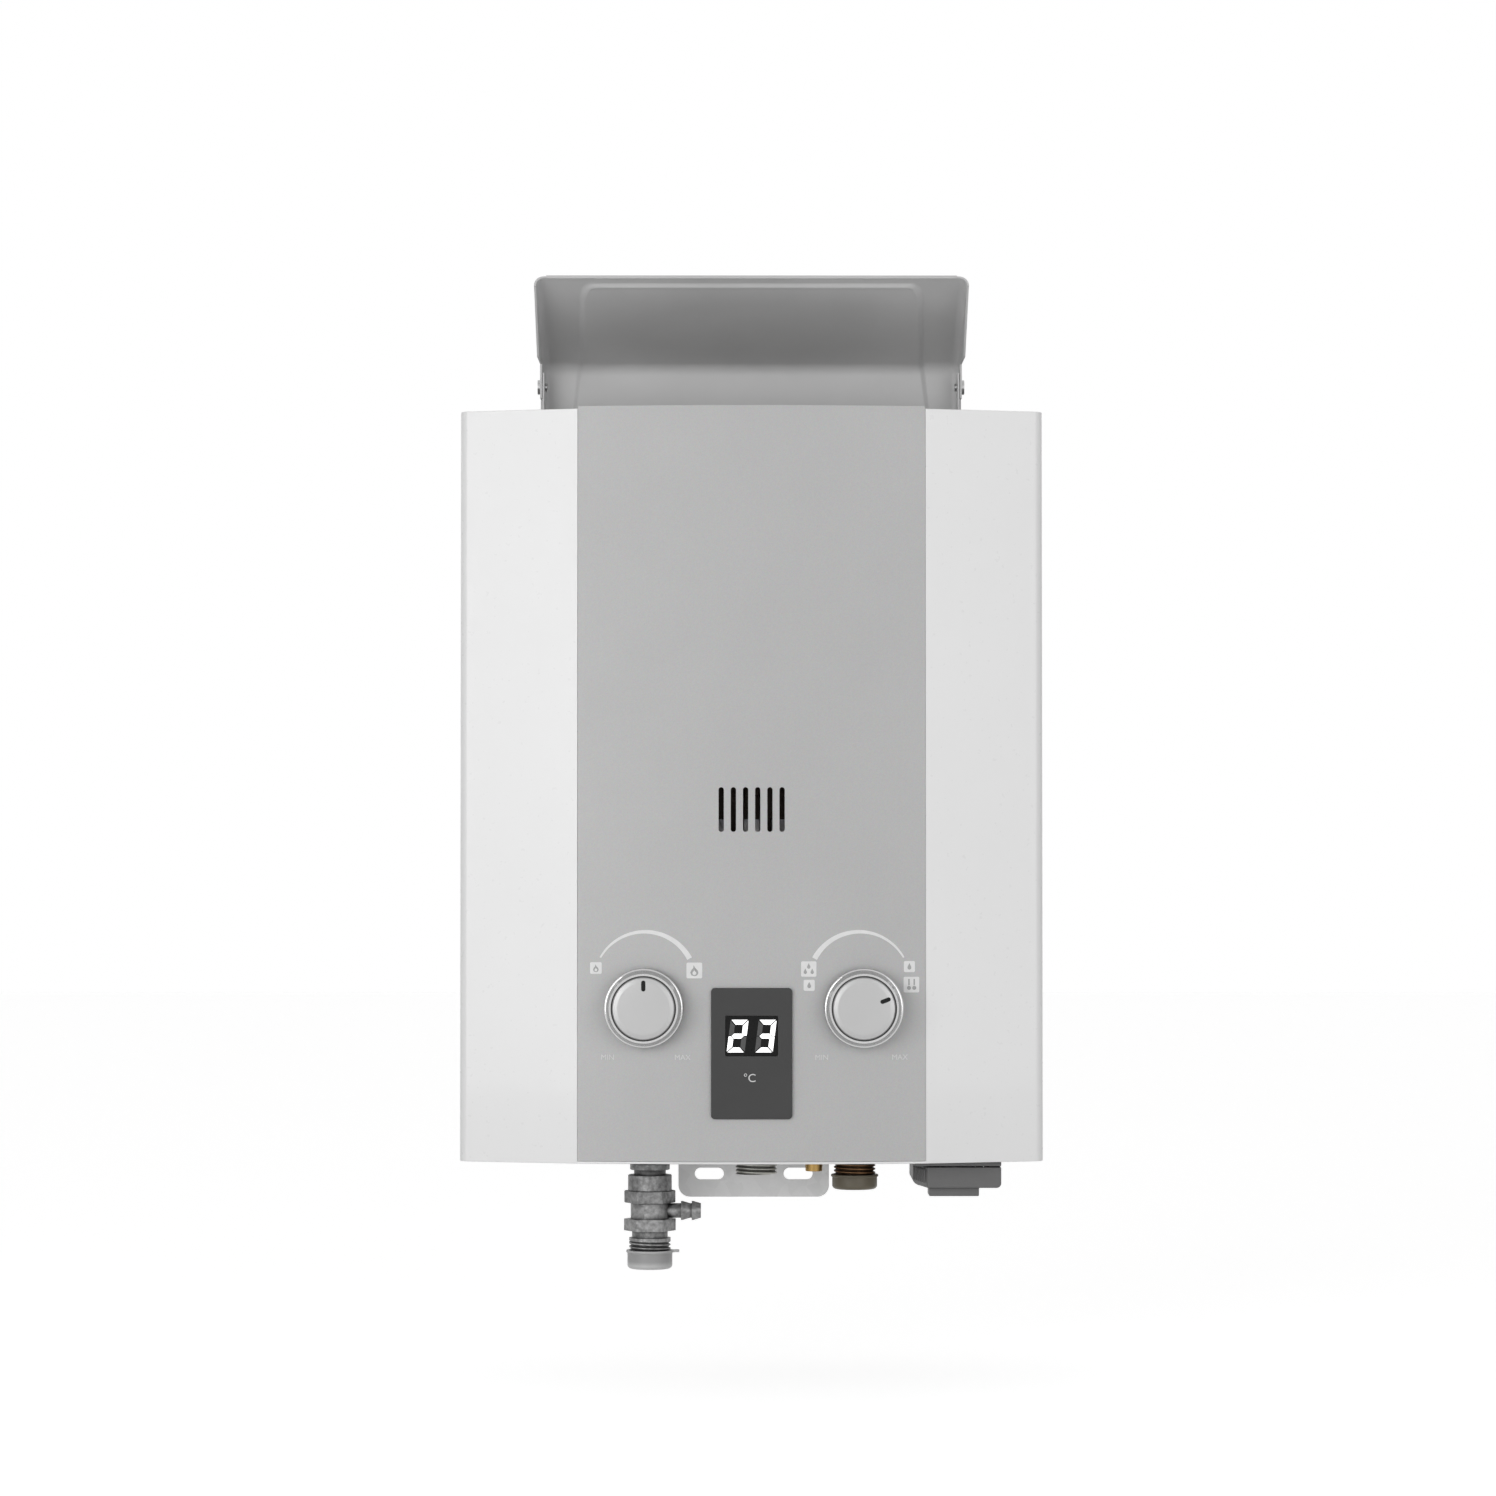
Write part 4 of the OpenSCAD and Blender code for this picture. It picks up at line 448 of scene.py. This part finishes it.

# %% [markdown]
# ## Bright and dull metal
# The knob skirts are plated plastic, nearly a mirror. The knob faces are satin. Fittings below the
# casing are dull nickel, zinc and old brass, cast or turned, so their grain is coarser. Shade is
# painted into their corners: an Ambient Occlusion node finds those from the shape itself and darkens
# the colour there. A shorter reach paints shade into the fine groove round each knob face.

# %% Plating, satin, nickel and brass
finish("chrome skirt", tone(200), 0.12, metal=1.0, patch=(60, 0.03), grain=(1200, 0.01))
finish("satin face", tone(187), 0.36, metal=0.35, patch=(26, 0.02), grain=(2400, 0.03))
finish("dull nickel", tone(120), 0.42, metal=0.6, patch=(420, 0.42), grain=(900, 0.35))
finish("bright nickel", tone(131), 0.4, metal=0.6, patch=(420, 0.38), grain=(900, 0.3))
finish("gray zinc", tone(170, 170, 163), 0.45, metal=0.5, patch=(150, 0.16), grain=(800, 0.15))
finish("old brass", tone(108, 80, 54), 0.42, metal=0.8, patch=(150, 0.25), grain=(900, 0.12))
finish("cast brass", tone(172, 140, 84), 0.4, metal=0.85, patch=(70, 0.14), grain=(520, 0.2))
finish("cast aluminium", tone(160), 0.5, metal=0.75, patch=(60, 0.1), grain=(480, 0.25))
finish("zinc screws", tone(186), 0.3, metal=0.95, patch=(200, 0.08), grain=(1500, 0.04))
finish("drawn steel", tone(170), 0.3, metal=0.95, patch=(60, 0.06), grain=(1600, 0.05),
       stretch=(1, 0.1, 1))
# painted shade in the corners and crevices of the fittings
for name in ("dull nickel", "bright nickel", "gray zinc", "old brass"):
    finishes[name].painted_crevice_shade(reach=0.005, darkest=0.15)
# painted shade in the fine groove round each knob face
for name in ("chrome skirt", "satin face"):
    finishes[name].painted_crevice_shade(reach=0.0014, darkest=0.1)
wear("chrome skirt", "gas_knob_skirt", "water_knob_skirt")
wear("satin face", "gas_knob", "water_knob")
wear("dull nickel", "outlet_stub", "outlet_union")
wear("gray zinc", "gas_inlet")
wear("bright nickel", "relief_valve")
wear("old brass", "cold_inlet")
wear("cast brass", "water_valve", "water_valve_cover", "drain_plug")
wear("cast aluminium", "gas_valve", "gas_manifold")
wear("zinc screws", "cover_screws", "rain_cap_screws", "valve_screws")
wear("drawn steel", "gas_spindle", "water_spindle", "push_rod", "microswitch_lever", "hinge_pin",
     "cell_contacts", "door_contact", "outlet_probe")
print("metals done, finishes so far:", len(finishes))

# %% [markdown]
# ## Copper, hot steel, ceramic and cells
# The exchanger is copper, darker where the flame reaches it. The burner bars turn straw and blue
# with heat, so their colour runs with the height. The electrodes are white ceramic rods with a
# steel tip, and the cells wear a printed sleeve between bright ends.

# %% Finishes that change with height
def banded(name, rough, metal, low, high, stops):
    """A finish whose colour runs with the height z between low and high, in metres."""
    made = finish(name, stops[0][1], rough, metal=metal, patch=(60, 0.1), grain=(900, 0.06))
    parts = made.add("SeparateXYZ")
    made.link(made.place, parts.inputs[0])
    height = made.add("MapRange")
    height.inputs["From Min"].default_value = low
    height.inputs["From Max"].default_value = high
    made.link(parts.outputs["Z"], height.inputs["Value"])
    ramp_node = made.add("ValToRGB")
    ramp = ramp_node.color_ramp
    while len(ramp.elements) < len(stops):
        ramp.elements.new(0.5)
    for element, (position, colour) in zip(ramp.elements, stops):
        element.position = position
        element.color = colour
    made.link(height.outputs["Result"], ramp_node.inputs["Fac"])
    worn = made.add("MixRGB")
    worn.blend_type = "MULTIPLY"
    made.link(made.broad, worn.inputs["Fac"])
    made.link(ramp_node.outputs["Color"], worn.inputs["Color1"])
    worn.inputs["Color2"].default_value = tone(222)
    made.link(worn.outputs["Color"], made.shader.inputs["Base Color"])


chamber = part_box("combustion_chamber")
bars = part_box("burner_bars")
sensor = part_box("flame_sensor")
cell_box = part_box("cells")
banded("copper", 0.32, 0.95, chamber[0].z, chamber[1].z,
       [(0.0, tone(58, 55, 53)), (0.3, tone(78, 68, 62)),
        (0.5, tone(170, 104, 76)), (1.0, tone(196, 122, 88))])
banded("heat-tinted steel", 0.35, 0.9, bars[0].z, bars[1].z,
       [(0.0, tone(170)), (0.7, tone(170, 166, 158)),
        (0.86, tone(164, 162, 162)), (1.0, tone(140, 140, 144))])
banded("ceramic and tip", 0.3, 0.0, sensor[0].z, sensor[1].z,
       [(0.0, tone(120)), (0.3, tone(226, 222, 212)), (0.8, tone(226, 222, 212)), (0.84, tone(120))])
banded("cell sleeve", 0.3, 0.2, cell_box[0].z, cell_box[1].z,
       [(0.0, tone(200)), (0.05, tone(60, 76, 98)), (0.66, tone(60, 76, 98)), (0.7, tone(176, 150, 96))])
wear("copper", "combustion_chamber", "fin_pack", "exchanger_tubes", "cold_pipe", "hot_pipe", "gas_riser")
wear("heat-tinted steel", "burner_bars")
wear("ceramic and tip", "ignition_electrode", "flame_sensor")
wear("cell sleeve", "cells")
print("finishes:", len(finishes))

# %% [markdown]
# ## Transport caps
# The two caps over the pipe threads are thin soft plastic, milky enough for the thread to show
# through a little: a share of transmission gives that. The light through the clear one is painted
# into its colour as well, which runs with the height: whitest at its floor, where the plastic is
# thickest and no metal lies behind it, darker in the middle where the thread shows through, and
# lighter again at the rim.

# %% Milky caps
cap_floor, cap_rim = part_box("outlet_cap")
# painted light through the floor and rim of the cap, and painted shade where the thread lies behind it
banded("milky cap with painted light", 0.4, 0.0, cap_floor.z, cap_rim.z,
       [(0.0, tone(252)), (0.2, tone(240)), (0.42, tone(196)), (0.8, tone(190)), (0.95, tone(226))])
finishes["milky cap with painted light"].shader.inputs["Transmission Weight"].default_value = 0.3
finish("brown cap", tone(110, 102, 84), 0.45, patch=(90, 0.08), grain=(700, 0.004))
finishes["brown cap"].shader.inputs["Transmission Weight"].default_value = 0.3
wear("milky cap with painted light", "outlet_cap")
wear("brown cap", "inlet_cap")
made = [kept.material for kept in finishes.values()]
print("nodes without a finish:", [n for n, o in nodes.items() if o.data.materials[0] not in made])

# %% [markdown]
# ## Pipe threads
# The nipples carry a half-inch parallel pipe thread, 14 turns to the inch with 55 degree flanks. A
# helical V groove is swept as a closed mesh and cut from a copy of the fitting with an exact
# Boolean. The copy then stands for the plain fitting of the frame.

# %% Cutting a thread
PITCH = 25.4 / 14
GROOVE = 1.05
PROUD = 0.25
RELIEF_THREAD_TOP = -41.0
NIPPLE_THREAD_TOP = 0.6


def groove(x, y, z_start, z_end, radius):
    """A V groove round the vertical axis at (x, y), from z_start down to z_end, all in millimetres."""
    steps = 28
    turns = (z_start - z_end) / PITCH
    count = int(turns * steps)
    mesh = bmesh.new()
    rings = []
    for i in range(count + 1):
        angle = 2 * math.pi * i / steps
        deep = GROOVE * min(1.0, i / steps)
        half = 0.62 * (deep + PROUD) / GROOVE
        z = z_start - PITCH * i / steps
        profile = [(radius + PROUD, z + half), (radius - deep, z + 0.08),
                   (radius - deep, z - 0.08), (radius + PROUD, z - half)]
        across, along = math.cos(angle), math.sin(angle)
        rings.append([mesh.verts.new(((x + r * across) * MM, (y + r * along) * MM, h * MM))
                      for r, h in profile])
    for a, b in zip(rings, rings[1:]):
        for k in range(4):
            mesh.faces.new((a[k], a[(k + 1) % 4], b[(k + 1) % 4], b[k]))
    mesh.faces.new(rings[0][::-1])
    mesh.faces.new(rings[-1])
    bmesh.ops.recalc_face_normals(mesh, faces=mesh.faces)
    data = bpy.data.meshes.new("groove")
    mesh.to_mesh(data)
    mesh.free()
    return data


def carve(name, *cutters):
    """A copy of a node with the cutters taken out of it, which stands for the node."""
    source = nodes[name]
    data = source.data.copy()
    work = bmesh.new()
    work.from_mesh(data)
    bmesh.ops.remove_doubles(work, verts=work.verts, dist=1e-7)
    work.to_mesh(data)
    work.free()
    piece = bpy.data.objects.new(name + "_cut", data)
    bpy.context.scene.collection.objects.link(piece)
    tools = []
    for cutter in cutters:
        tool = bpy.data.objects.new("cutter", cutter)
        bpy.context.scene.collection.objects.link(tool)
        cut = piece.modifiers.new("cut", "BOOLEAN")
        cut.solver = "EXACT"
        cut.object = tool
        tools.append(tool)
    cut_piece = piece.evaluated_get(bpy.context.evaluated_depsgraph_get())
    shaped = bpy.data.meshes.new_from_object(cut_piece)
    piece.modifiers.clear()
    piece.data = shaped
    shaped.materials.clear()
    shaped.materials.append(source.data.materials[0])
    for tool in tools:
        bpy.data.objects.remove(tool)
    if not shaped.polygons:
        raise RuntimeError("the cut left nothing of " + name)
    soften(piece, 0.0)
    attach(piece, source["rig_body"])
    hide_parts(name)
    print(name, "faces:", len(source.data.polygons), "->", len(shaped.polygons))
    return piece


def thread(name, z_start):
    """Threads a fitting from z_start, in millimetres, past its lower end."""
    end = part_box(name)[0].z
    foot = [v.co for v in nodes[name].data.vertices if v.co.z < end + 0.5 * MM]
    x = (min(v.x for v in foot) + max(v.x for v in foot)) / 2
    y = (min(v.y for v in foot) + max(v.y for v in foot)) / 2
    radius = (max(v.x for v in foot) - min(v.x for v in foot)) / 2
    carve(name, groove(x / MM, y / MM, z_start, end / MM - 1, radius / MM))


thread("relief_valve", RELIEF_THREAD_TOP)
thread("cold_inlet", NIPPLE_THREAD_TOP)
thread("gas_inlet", NIPPLE_THREAD_TOP)

# %% [markdown]
# ## Screw heads
# The pan heads of the cap and cover screws have a cross recess. A prism with a plus for its
# outline, sunk into each head, cuts it.

# %% Cross recesses
def cross(centre, axis, reach=2.2, half=0.45, depth=0.9):
    """A plus-shaped prism at the centre of a screw head, sunk by depth along the axis, in millimetres."""
    axis = Vector(axis)
    side = axis.orthogonal().normalized()
    other = axis.cross(side)
    arm = ((reach, -half), (reach, half), (half, half))
    outline = [Vector(centre) + turn * u + axis.cross(turn) * v
               for turn in (side, other, -side, -other) for u, v in arm]
    mesh = bmesh.new()
    rings = [[mesh.verts.new((p + axis * k) * MM) for p in outline] for k in (-depth, depth)]
    for k in range(len(outline)):
        mesh.faces.new((rings[0][k - 1], rings[0][k], rings[1][k], rings[1][k - 1]))
    for ring in rings:
        mesh.faces.new(ring)
    bmesh.ops.recalc_face_normals(mesh, faces=mesh.faces)
    bmesh.ops.triangulate(mesh, faces=mesh.faces[:])
    data = bpy.data.meshes.new("cross recess")
    mesh.to_mesh(data)
    mesh.free()
    return data


low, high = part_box("rain_cap_screws")
middle_y, middle_z = (low.y + high.y) / 2 / MM, (low.z + high.z) / 2 / MM
carve("rain_cap_screws",
      cross((low.x / MM, middle_y, middle_z), (1, 0, 0)),
      cross((high.x / MM, middle_y, middle_z), (-1, 0, 0)))
low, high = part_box("cover_screws")
middle_y = (low.y + high.y) / 2 / MM
head_r = (high.y - low.y) / 2 / MM
carve("cover_screws", *[cross((x, middle_y, low.z / MM), (0, 0, 1))
                        for x in (low.x / MM + head_r, high.x / MM - head_r)])

# %% [markdown]
# ## The border of the pressed panel
# The panel in the rain cap is pressed with rounded tools, so its border is a soft slope, where the
# frame has a plain step. A narrow closed strip fills that step. Its path is felt out with rays from
# the front: a ray that stops sooner than one beside the panel has met the panel. Halving the
# distance again and again then finds the border itself, up the sides, round the corners and along
# the top.

# %% Feeling for the panel
cap_mesh = nodes["rain_cap"].data
cap_tree = BVHTree.FromPolygons([v.co for v in cap_mesh.vertices],
                                [p.vertices for p in cap_mesh.polygons])
margin_x = cap_high.x - 10 * MM
HEM = 4 * MM
STEP = 0.4 * MM


def depth(x, z):
    """The y at which a ray from the front meets the cap."""
    return cap_tree.ray_cast(Vector((x, -1, z)), Vector((0, 1, 0)))[0].y


def border(x, z, across, up, far):
    """The last point on the panel, from (x, z) in the direction (across, up), at most far away."""
    near = 0.0
    for _ in range(24):
        half = (near + far) / 2
        height = z + up * half
        on_panel = depth(x + across * half, height) < depth(margin_x, height) - STEP
        near, far = (half, far) if on_panel else (near, half)
    return Vector((x + across * near, 0, z + up * near))


panel_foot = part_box("fascia")[1].z + 8 * MM
middle_z = (panel_foot + cap_high.z) / 2
panel_top = border(0, middle_z, 0, 1, cap_high.z - HEM - middle_z).z
print("panel from", round(panel_foot / MM, 1), "to", round(panel_top / MM, 1), "mm")

# %% [markdown]
# Each ring of the strip starts on the panel's edge, runs out to the sheet in a soft S, and closes
# behind it along the sheet and the step. The slope is 3 mm wide, and a little more round the
# corners.

# %% The sloped border
CORNER = 6 * MM
SLOPE = 3.0 * MM
RAISE = 0.02 * MM
NUDGE = 0.05 * MM


def slope_ring(edge, across, up):
    """Points from the panel's edge out to the sheet, and back to the foot of the step."""
    width = SLOPE * abs(across) + SLOPE * abs(up)
    on_panel = depth(edge.x - across * NUDGE, edge.z - up * NUDGE)
    foot = depth(edge.x + across * NUDGE, edge.z + up * NUDGE)
    ring = []
    for k in range(7):
        t = k / 6
        x, z = edge.x + across * width * t, edge.z + up * width * t
        sheet = depth(edge.x + across * (width * t + NUDGE), edge.z + up * (width * t + NUDGE))
        rest = 1 - t * t * (3 - 2 * t)
        ring.append((x, sheet - (foot - on_panel) * rest - RAISE, z))
    ring.append((edge.x, foot, edge.z))
    return ring


corner_z = panel_top - CORNER
right = [(border(0, z, 1, 0, margin_x), 1, 0)
         for z in (panel_foot + (corner_z - panel_foot) * k / 24 for k in range(25))]
corner_x = right[-1][0].x - CORNER
for step in range(1, 9):
    across, up = math.cos(step * math.pi / 16), math.sin(step * math.pi / 16)
    right.append((border(corner_x, corner_z, across, up, 2 * CORNER), across, up))
rings = [slope_ring(*spot) for spot in right]
rings += [[(-x, y, z) for x, y, z in ring] for ring in rings[::-1]]
strip = bmesh.new()
verts = [[strip.verts.new(p) for p in ring] for ring in rings]
for a, b in zip(verts, verts[1:]):
    for k in range(len(a)):
        strip.faces.new((a[k - 1], a[k], b[k], b[k - 1]))
strip.faces.new(verts[0])
strip.faces.new(verts[-1][::-1])
bmesh.ops.recalc_face_normals(strip, faces=strip.faces)
strip_mesh = bpy.data.meshes.new("panel_border")
strip.to_mesh(strip_mesh)
strip.free()
strip_mesh.materials.append(finishes["gray paint"].material)
panel_border = bpy.data.objects.new("panel_border", strip_mesh)
bpy.context.scene.collection.objects.link(panel_border)
soften(panel_border, 0.0)
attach(panel_border, "casing")
print("border strip:", len(rings), "rings, corner at",
      round(corner_x / MM, 1), round(corner_z / MM, 1), "mm")

# %% [markdown]
# ## Printed marks
# Round each knob the fascia carries a thin printed scale: an arc that swells towards the stronger
# setting, and small white tiles with signs for flame, water and heat. Ink is a film, so each mark
# is a flat outline that is laid on the arch of the fascia and stands a few hundredths of a
# millimetre proud. The outline is cut into narrow strips first, so that it can follow the curve.

# %% Ink on the fascia
finish("white ink", tone(234), 0.5, patch=(300, 0.03), grain=(2500, 0.05))
finish("gray ink", tone(168), 0.5, patch=(300, 0.04), grain=(2500, 0.05))
finish("faint ink", tone(214), 0.5, patch=(300, 0.03), grain=(2500, 0.05))


def printed(name, outlines, ink, lift=0.05, surface=on_fascia, letters=None):
    """Flat outlines on (x, z), in millimetres, laid on a surface as a film of ink."""
    mesh = bmesh.new()
    if letters is not None:
        mesh.from_mesh(letters)
    for outline in outlines:
        mesh.faces.new([mesh.verts.new((x * MM, 0, z * MM)) for x, z in outline])
    bmesh.ops.triangulate(mesh, faces=mesh.faces[:])
    left, right = min(v.co.x for v in mesh.verts), max(v.co.x for v in mesh.verts)
    for k in range(1, int((right - left) / (2 * MM)) + 1):
        bmesh.ops.bisect_plane(mesh, geom=mesh.verts[:] + mesh.edges[:] + mesh.faces[:],
                               plane_co=(left + 2 * k * MM, 0, 0), plane_no=(1, 0, 0))
    for v in mesh.verts:
        v.co.y = surface(v.co.x, lift * MM)
    mesh.normal_update()
    for face in mesh.faces:
        if face.normal.y > 0:
            face.normal_flip()
    data = bpy.data.meshes.new(name)
    mesh.to_mesh(data)
    mesh.free()
    data.materials.append(finishes[ink].material)
    piece = bpy.data.objects.new(name, data)
    bpy.context.scene.collection.objects.link(piece)
    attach(piece, "casing")
    return piece


def swelling_arc(x, z, radius, thin, thick):
    """An arc over a knob whose width grows from thin at its left end to thick at its right end."""
    outer, inner = [], []
    for k in range(41):
        angle = math.radians(151 - 122 * k / 40)
        width = thin + (thick - thin) * k / 40
        outer.append((x + radius * math.cos(angle), z + radius * math.sin(angle)))
        inner.append((x + (radius - width) * math.cos(angle), z + (radius - width) * math.sin(angle)))
    return outer + inner[::-1]


def tile(x, z, size, corner=0.7):
    outline = []
    for k, (u, v) in enumerate(((1, 1), (-1, 1), (-1, -1), (1, -1))):
        for step in range(4):
            angle = math.radians(90 * k + 30 * step)
            outline.append((x + u * (size / 2 - corner) + corner * math.cos(angle),
                            z + v * (size / 2 - corner) + corner * math.sin(angle)))
    return outline


def sign(points, x, z, size):
    return [(x + size * u, z + size * v) for u, v in points]


def round_sign(x, z, radius, count=14):
    angles = [2 * math.pi * k / count for k in range(count)]
    return [(x + radius * math.cos(a), z + radius * math.sin(a)) for a in angles]


# %% [markdown]
# The signs are small outlines of our own, drawn in a square of side 1 round its middle. The places
# of the scales and tiles are millimetres on the fascia: each scale is centred on its knob.

# %% Scales, tiles and signs
KNOB_Z = 89.1
GAS_X = -52.2
WATER_X = 52.6
SCALE = {"radius": 26.1, "thin": 0.9, "thick": 2.7}
FLAME = [(0.0, -0.42), (0.2, -0.36), (0.3, -0.18), (0.26, 0.0), (0.14, 0.12), (0.12, -0.02),
         (0.06, 0.2), (-0.06, 0.42), (-0.08, 0.2), (-0.22, 0.04), (-0.3, -0.14), (-0.22, -0.34)]
DROP = [(0.0, 0.42), (0.12, 0.16), (0.22, -0.04), (0.22, -0.2), (0.12, -0.32), (0.0, -0.36),
        (-0.12, -0.32), (-0.22, -0.2), (-0.22, -0.04), (-0.12, 0.16)]
STEM = [(-0.06, -0.12), (0.06, -0.12), (0.06, 0.4), (-0.06, 0.4)]
printed("gas_scale", [swelling_arc(GAS_X, KNOB_Z, **SCALE)], "white ink")
mirrored = [(2 * WATER_X - x, z) for x, z in swelling_arc(WATER_X, KNOB_Z, **SCALE)]
printed("water_scale", [mirrored], "white ink")
tiles = [(-76.8, 96.4, 5.8), (-28.2, 95.3, 7.8), (28.1, 96.0, 7.6),
         (28.3, 88.0, 5.5), (77.8, 97.1, 5.5), (78.8, 88.2, 7.8)]
printed("sign_tiles", [tile(*t) for t in tiles], "white ink")
flames = [(-76.8, 96.3, 4.6), (-28.2, 95.2, 6.6)]
signs = [sign(FLAME, *spot) for spot in flames]
signs += [
    sign(DROP, 26.4, 94.8, 3.6), sign(DROP, 29.8, 94.8, 3.6), sign(DROP, 28.1, 97.4, 3.6),
    sign(DROP, 28.3, 88.0, 4.0), sign(DROP, 77.8, 97.1, 4.2),
    sign(STEM, 77.6, 88.6, 6.0), round_sign(77.6, 86.6, 1.0),
    sign(STEM, 80.2, 88.6, 6.0), round_sign(80.2, 86.6, 1.0),
]
printed("signs", signs, "gray ink", lift=0.09)
hearts = [sign(FLAME, x, z - size * 0.12, size * 0.5) for x, z, size in flames]
printed("flame_hearts", hearts, "white ink", lift=0.13)
print("tiles:", len(tiles), "signs:", len(signs))

# %% [markdown]
# Under each knob stand the ends of its scale, MIN and MAX, and under the display the unit of the
# figures. The letters are Blender's own typeface, turned into a mesh and laid on like the other
# marks.

# %% Letters
def letters(words, size, x, z):
    """A mesh of words on (x, z), centred at x, with capitals of that height, in millimetres."""
    curve = bpy.data.curves.new("letters", "FONT")
    curve.body = words
    curve.size = size * MM * 1.43
    curve.align_x = "CENTER"
    curve.resolution_u = 4
    obj = bpy.data.objects.new("letters", curve)
    bpy.context.scene.collection.objects.link(obj)
    laid_out = obj.evaluated_get(bpy.context.evaluated_depsgraph_get())
    mesh = bpy.data.meshes.new_from_object(laid_out)
    bpy.data.objects.remove(obj)
    for v in mesh.vertices:
        v.co = (v.co.x + x * MM, 0, v.co.y + (z - size / 2) * MM)
    return mesh


WORD_SIZE = 2.6
WORD_Z = 52.6
for words, x in (("MIN", -71.0), ("MAX", -34.0), ("MIN", 34.5), ("MAX", 73.0)):
    knob = "_gas" if x < 0 else "_water"
    printed("word_" + words + knob, [], "faint ink", letters=letters(words, WORD_SIZE, x, WORD_Z))
bezel_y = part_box("display_bezel")[0].y
printed("unit_sign", [], "faint ink", surface=lambda x, lift: bezel_y - lift,
        letters=letters("\u00b0C", 4.0, -1.0, 42.6))
print("letters laid on, bezel front at", round(bezel_y / MM, 2), "mm")

# %% [markdown]
# ## Lamps
# The photograph is lit softly from the front, a little more from the left: the left facet is the
# brightest face, and no shadow has a hard edge. Two wide disc lamps do that, a stronger one left of
# the camera and a weaker one right of it. The wider a lamp is, the softer the shadows are that it
# leaves in the slots and under the knobs.

# %% Two soft lamps
def lamp(name, place, target, size, power):
    data = bpy.data.lights.new(name, "AREA")
    data.shape = "DISK"
    data.size = size
    data.energy = power
    obj = bpy.data.objects.new(name, data)
    obj.location = place
    obj.rotation_euler = (Vector(target) - Vector(place)).to_track_quat("-Z", "Y").to_euler()
    bpy.context.scene.collection.objects.link(obj)
    print(name, power, "W")


middle = (0.0, -0.06, 0.2)
lamp("key from the left", (-1.3, -2.5, 0.35), middle, 1.7, 27)
lamp("fill from the right", (1.3, -2.5, 0.35), middle, 1.5, 13)

# %% [markdown]
# ## World
# The world is the rest of the studio: it fills the shadows from all sides. Camera, glossy and
# transmission rays see it at full strength, so the background is white, and plated and clear pieces
# reflect that white, without more light on the heater.

# %% A white world with a weak fill
FILL = 0.42
world = bpy.data.worlds.new("white studio")
bpy.context.scene.world = world
world.use_nodes = True
sky = world.node_tree
seen = sky.nodes["Background"]
seen.inputs["Color"].default_value = (1, 1, 1, 1)
fill = sky.nodes.new("ShaderNodeBackground")
fill.inputs["Color"].default_value = (1, 1, 1, 1)
fill.inputs["Strength"].default_value = FILL
rays = sky.nodes.new("ShaderNodeLightPath")
direct = sky.nodes.new("ShaderNodeMath")
direct.operation = "MAXIMUM"
through = sky.nodes.new("ShaderNodeMath")
through.operation = "MAXIMUM"
both = sky.nodes.new("ShaderNodeMixShader")
sky.links.new(rays.outputs["Is Camera Ray"], direct.inputs[0])
sky.links.new(rays.outputs["Is Glossy Ray"], direct.inputs[1])
sky.links.new(direct.outputs[0], through.inputs[0])
sky.links.new(rays.outputs["Is Transmission Ray"], through.inputs[1])
sky.links.new(through.outputs[0], both.inputs["Fac"])
sky.links.new(fill.outputs[0], both.inputs[1])
sky.links.new(seen.outputs[0], both.inputs[2])
sky.links.new(both.outputs[0], sky.nodes["World Output"].inputs["Surface"])
print("world fill", FILL)

# %% [markdown]
# ## Floor
# The heater hangs on its wall face, so the floor lies below its fittings, far enough down for the
# open battery door and the drawn caps. It is matt and pale. For camera and glossy rays it also
# gives off some light of its own, which brings it up to white where it is fully lit; where the
# heater shades it, it stays darker, so the shadow is kept.

# %% A pale floor
FLOOR_Z = -0.11
FLOOR_GLOW = 0.60
ground = bmesh.new()
bmesh.ops.create_grid(ground, x_segments=8, y_segments=8, size=6)
floor_mesh = bpy.data.meshes.new("floor")
ground.to_mesh(floor_mesh)
ground.free()
floor = bpy.data.objects.new("floor", floor_mesh)
floor.location.z = FLOOR_Z
bpy.context.scene.collection.objects.link(floor)
pale = Finish("pale floor", tone(228), 0.9, patch=(3, 0.004), grain=(200, 0.02))
pale.shader.inputs["Emission Color"].default_value = (1, 1, 1, 1)
eye = pale.add("LightPath")
either = pale.add("Math")
either.operation = "MAXIMUM"
glow = pale.add("Math")
glow.operation = "MULTIPLY"
glow.inputs[1].default_value = FLOOR_GLOW
pale.link(eye.outputs["Is Camera Ray"], either.inputs[0])
pale.link(eye.outputs["Is Glossy Ray"], either.inputs[1])
pale.link(either.outputs[0], glow.inputs[0])
pale.link(glow.outputs[0], pale.shader.inputs["Emission Strength"])
floor.data.materials.append(pale.material)
print("floor at", round(FLOOR_Z / MM), "mm, glow", FLOOR_GLOW)

# %% [markdown]
# ## Camera
# The photograph was taken from straight in front, a little below the middle of the casing, with a
# long lens: the sides of the casing hardly converge, and a little of the rain cap's underside
# shows. The camera stands at the same place, far enough away for the same narrow angle.

# %% The front view
lens = bpy.data.cameras.new("front view")
lens.sensor_width = 36
lens.lens = 107.5
camera = bpy.data.objects.new("front view", lens)
camera.location = (-0.008, -2.32, 0.1545)
aim = Vector((-0.0018, -0.12, 0.2048))
camera.rotation_euler = (aim - camera.location).to_track_quat("-Z", "Y").to_euler()
bpy.context.scene.collection.objects.link(camera)
bpy.context.scene.camera = camera
bpy.context.scene.view_settings.view_transform = "Standard"
print("camera", [round(v, 3) for v in camera.location], "lens", lens.lens)
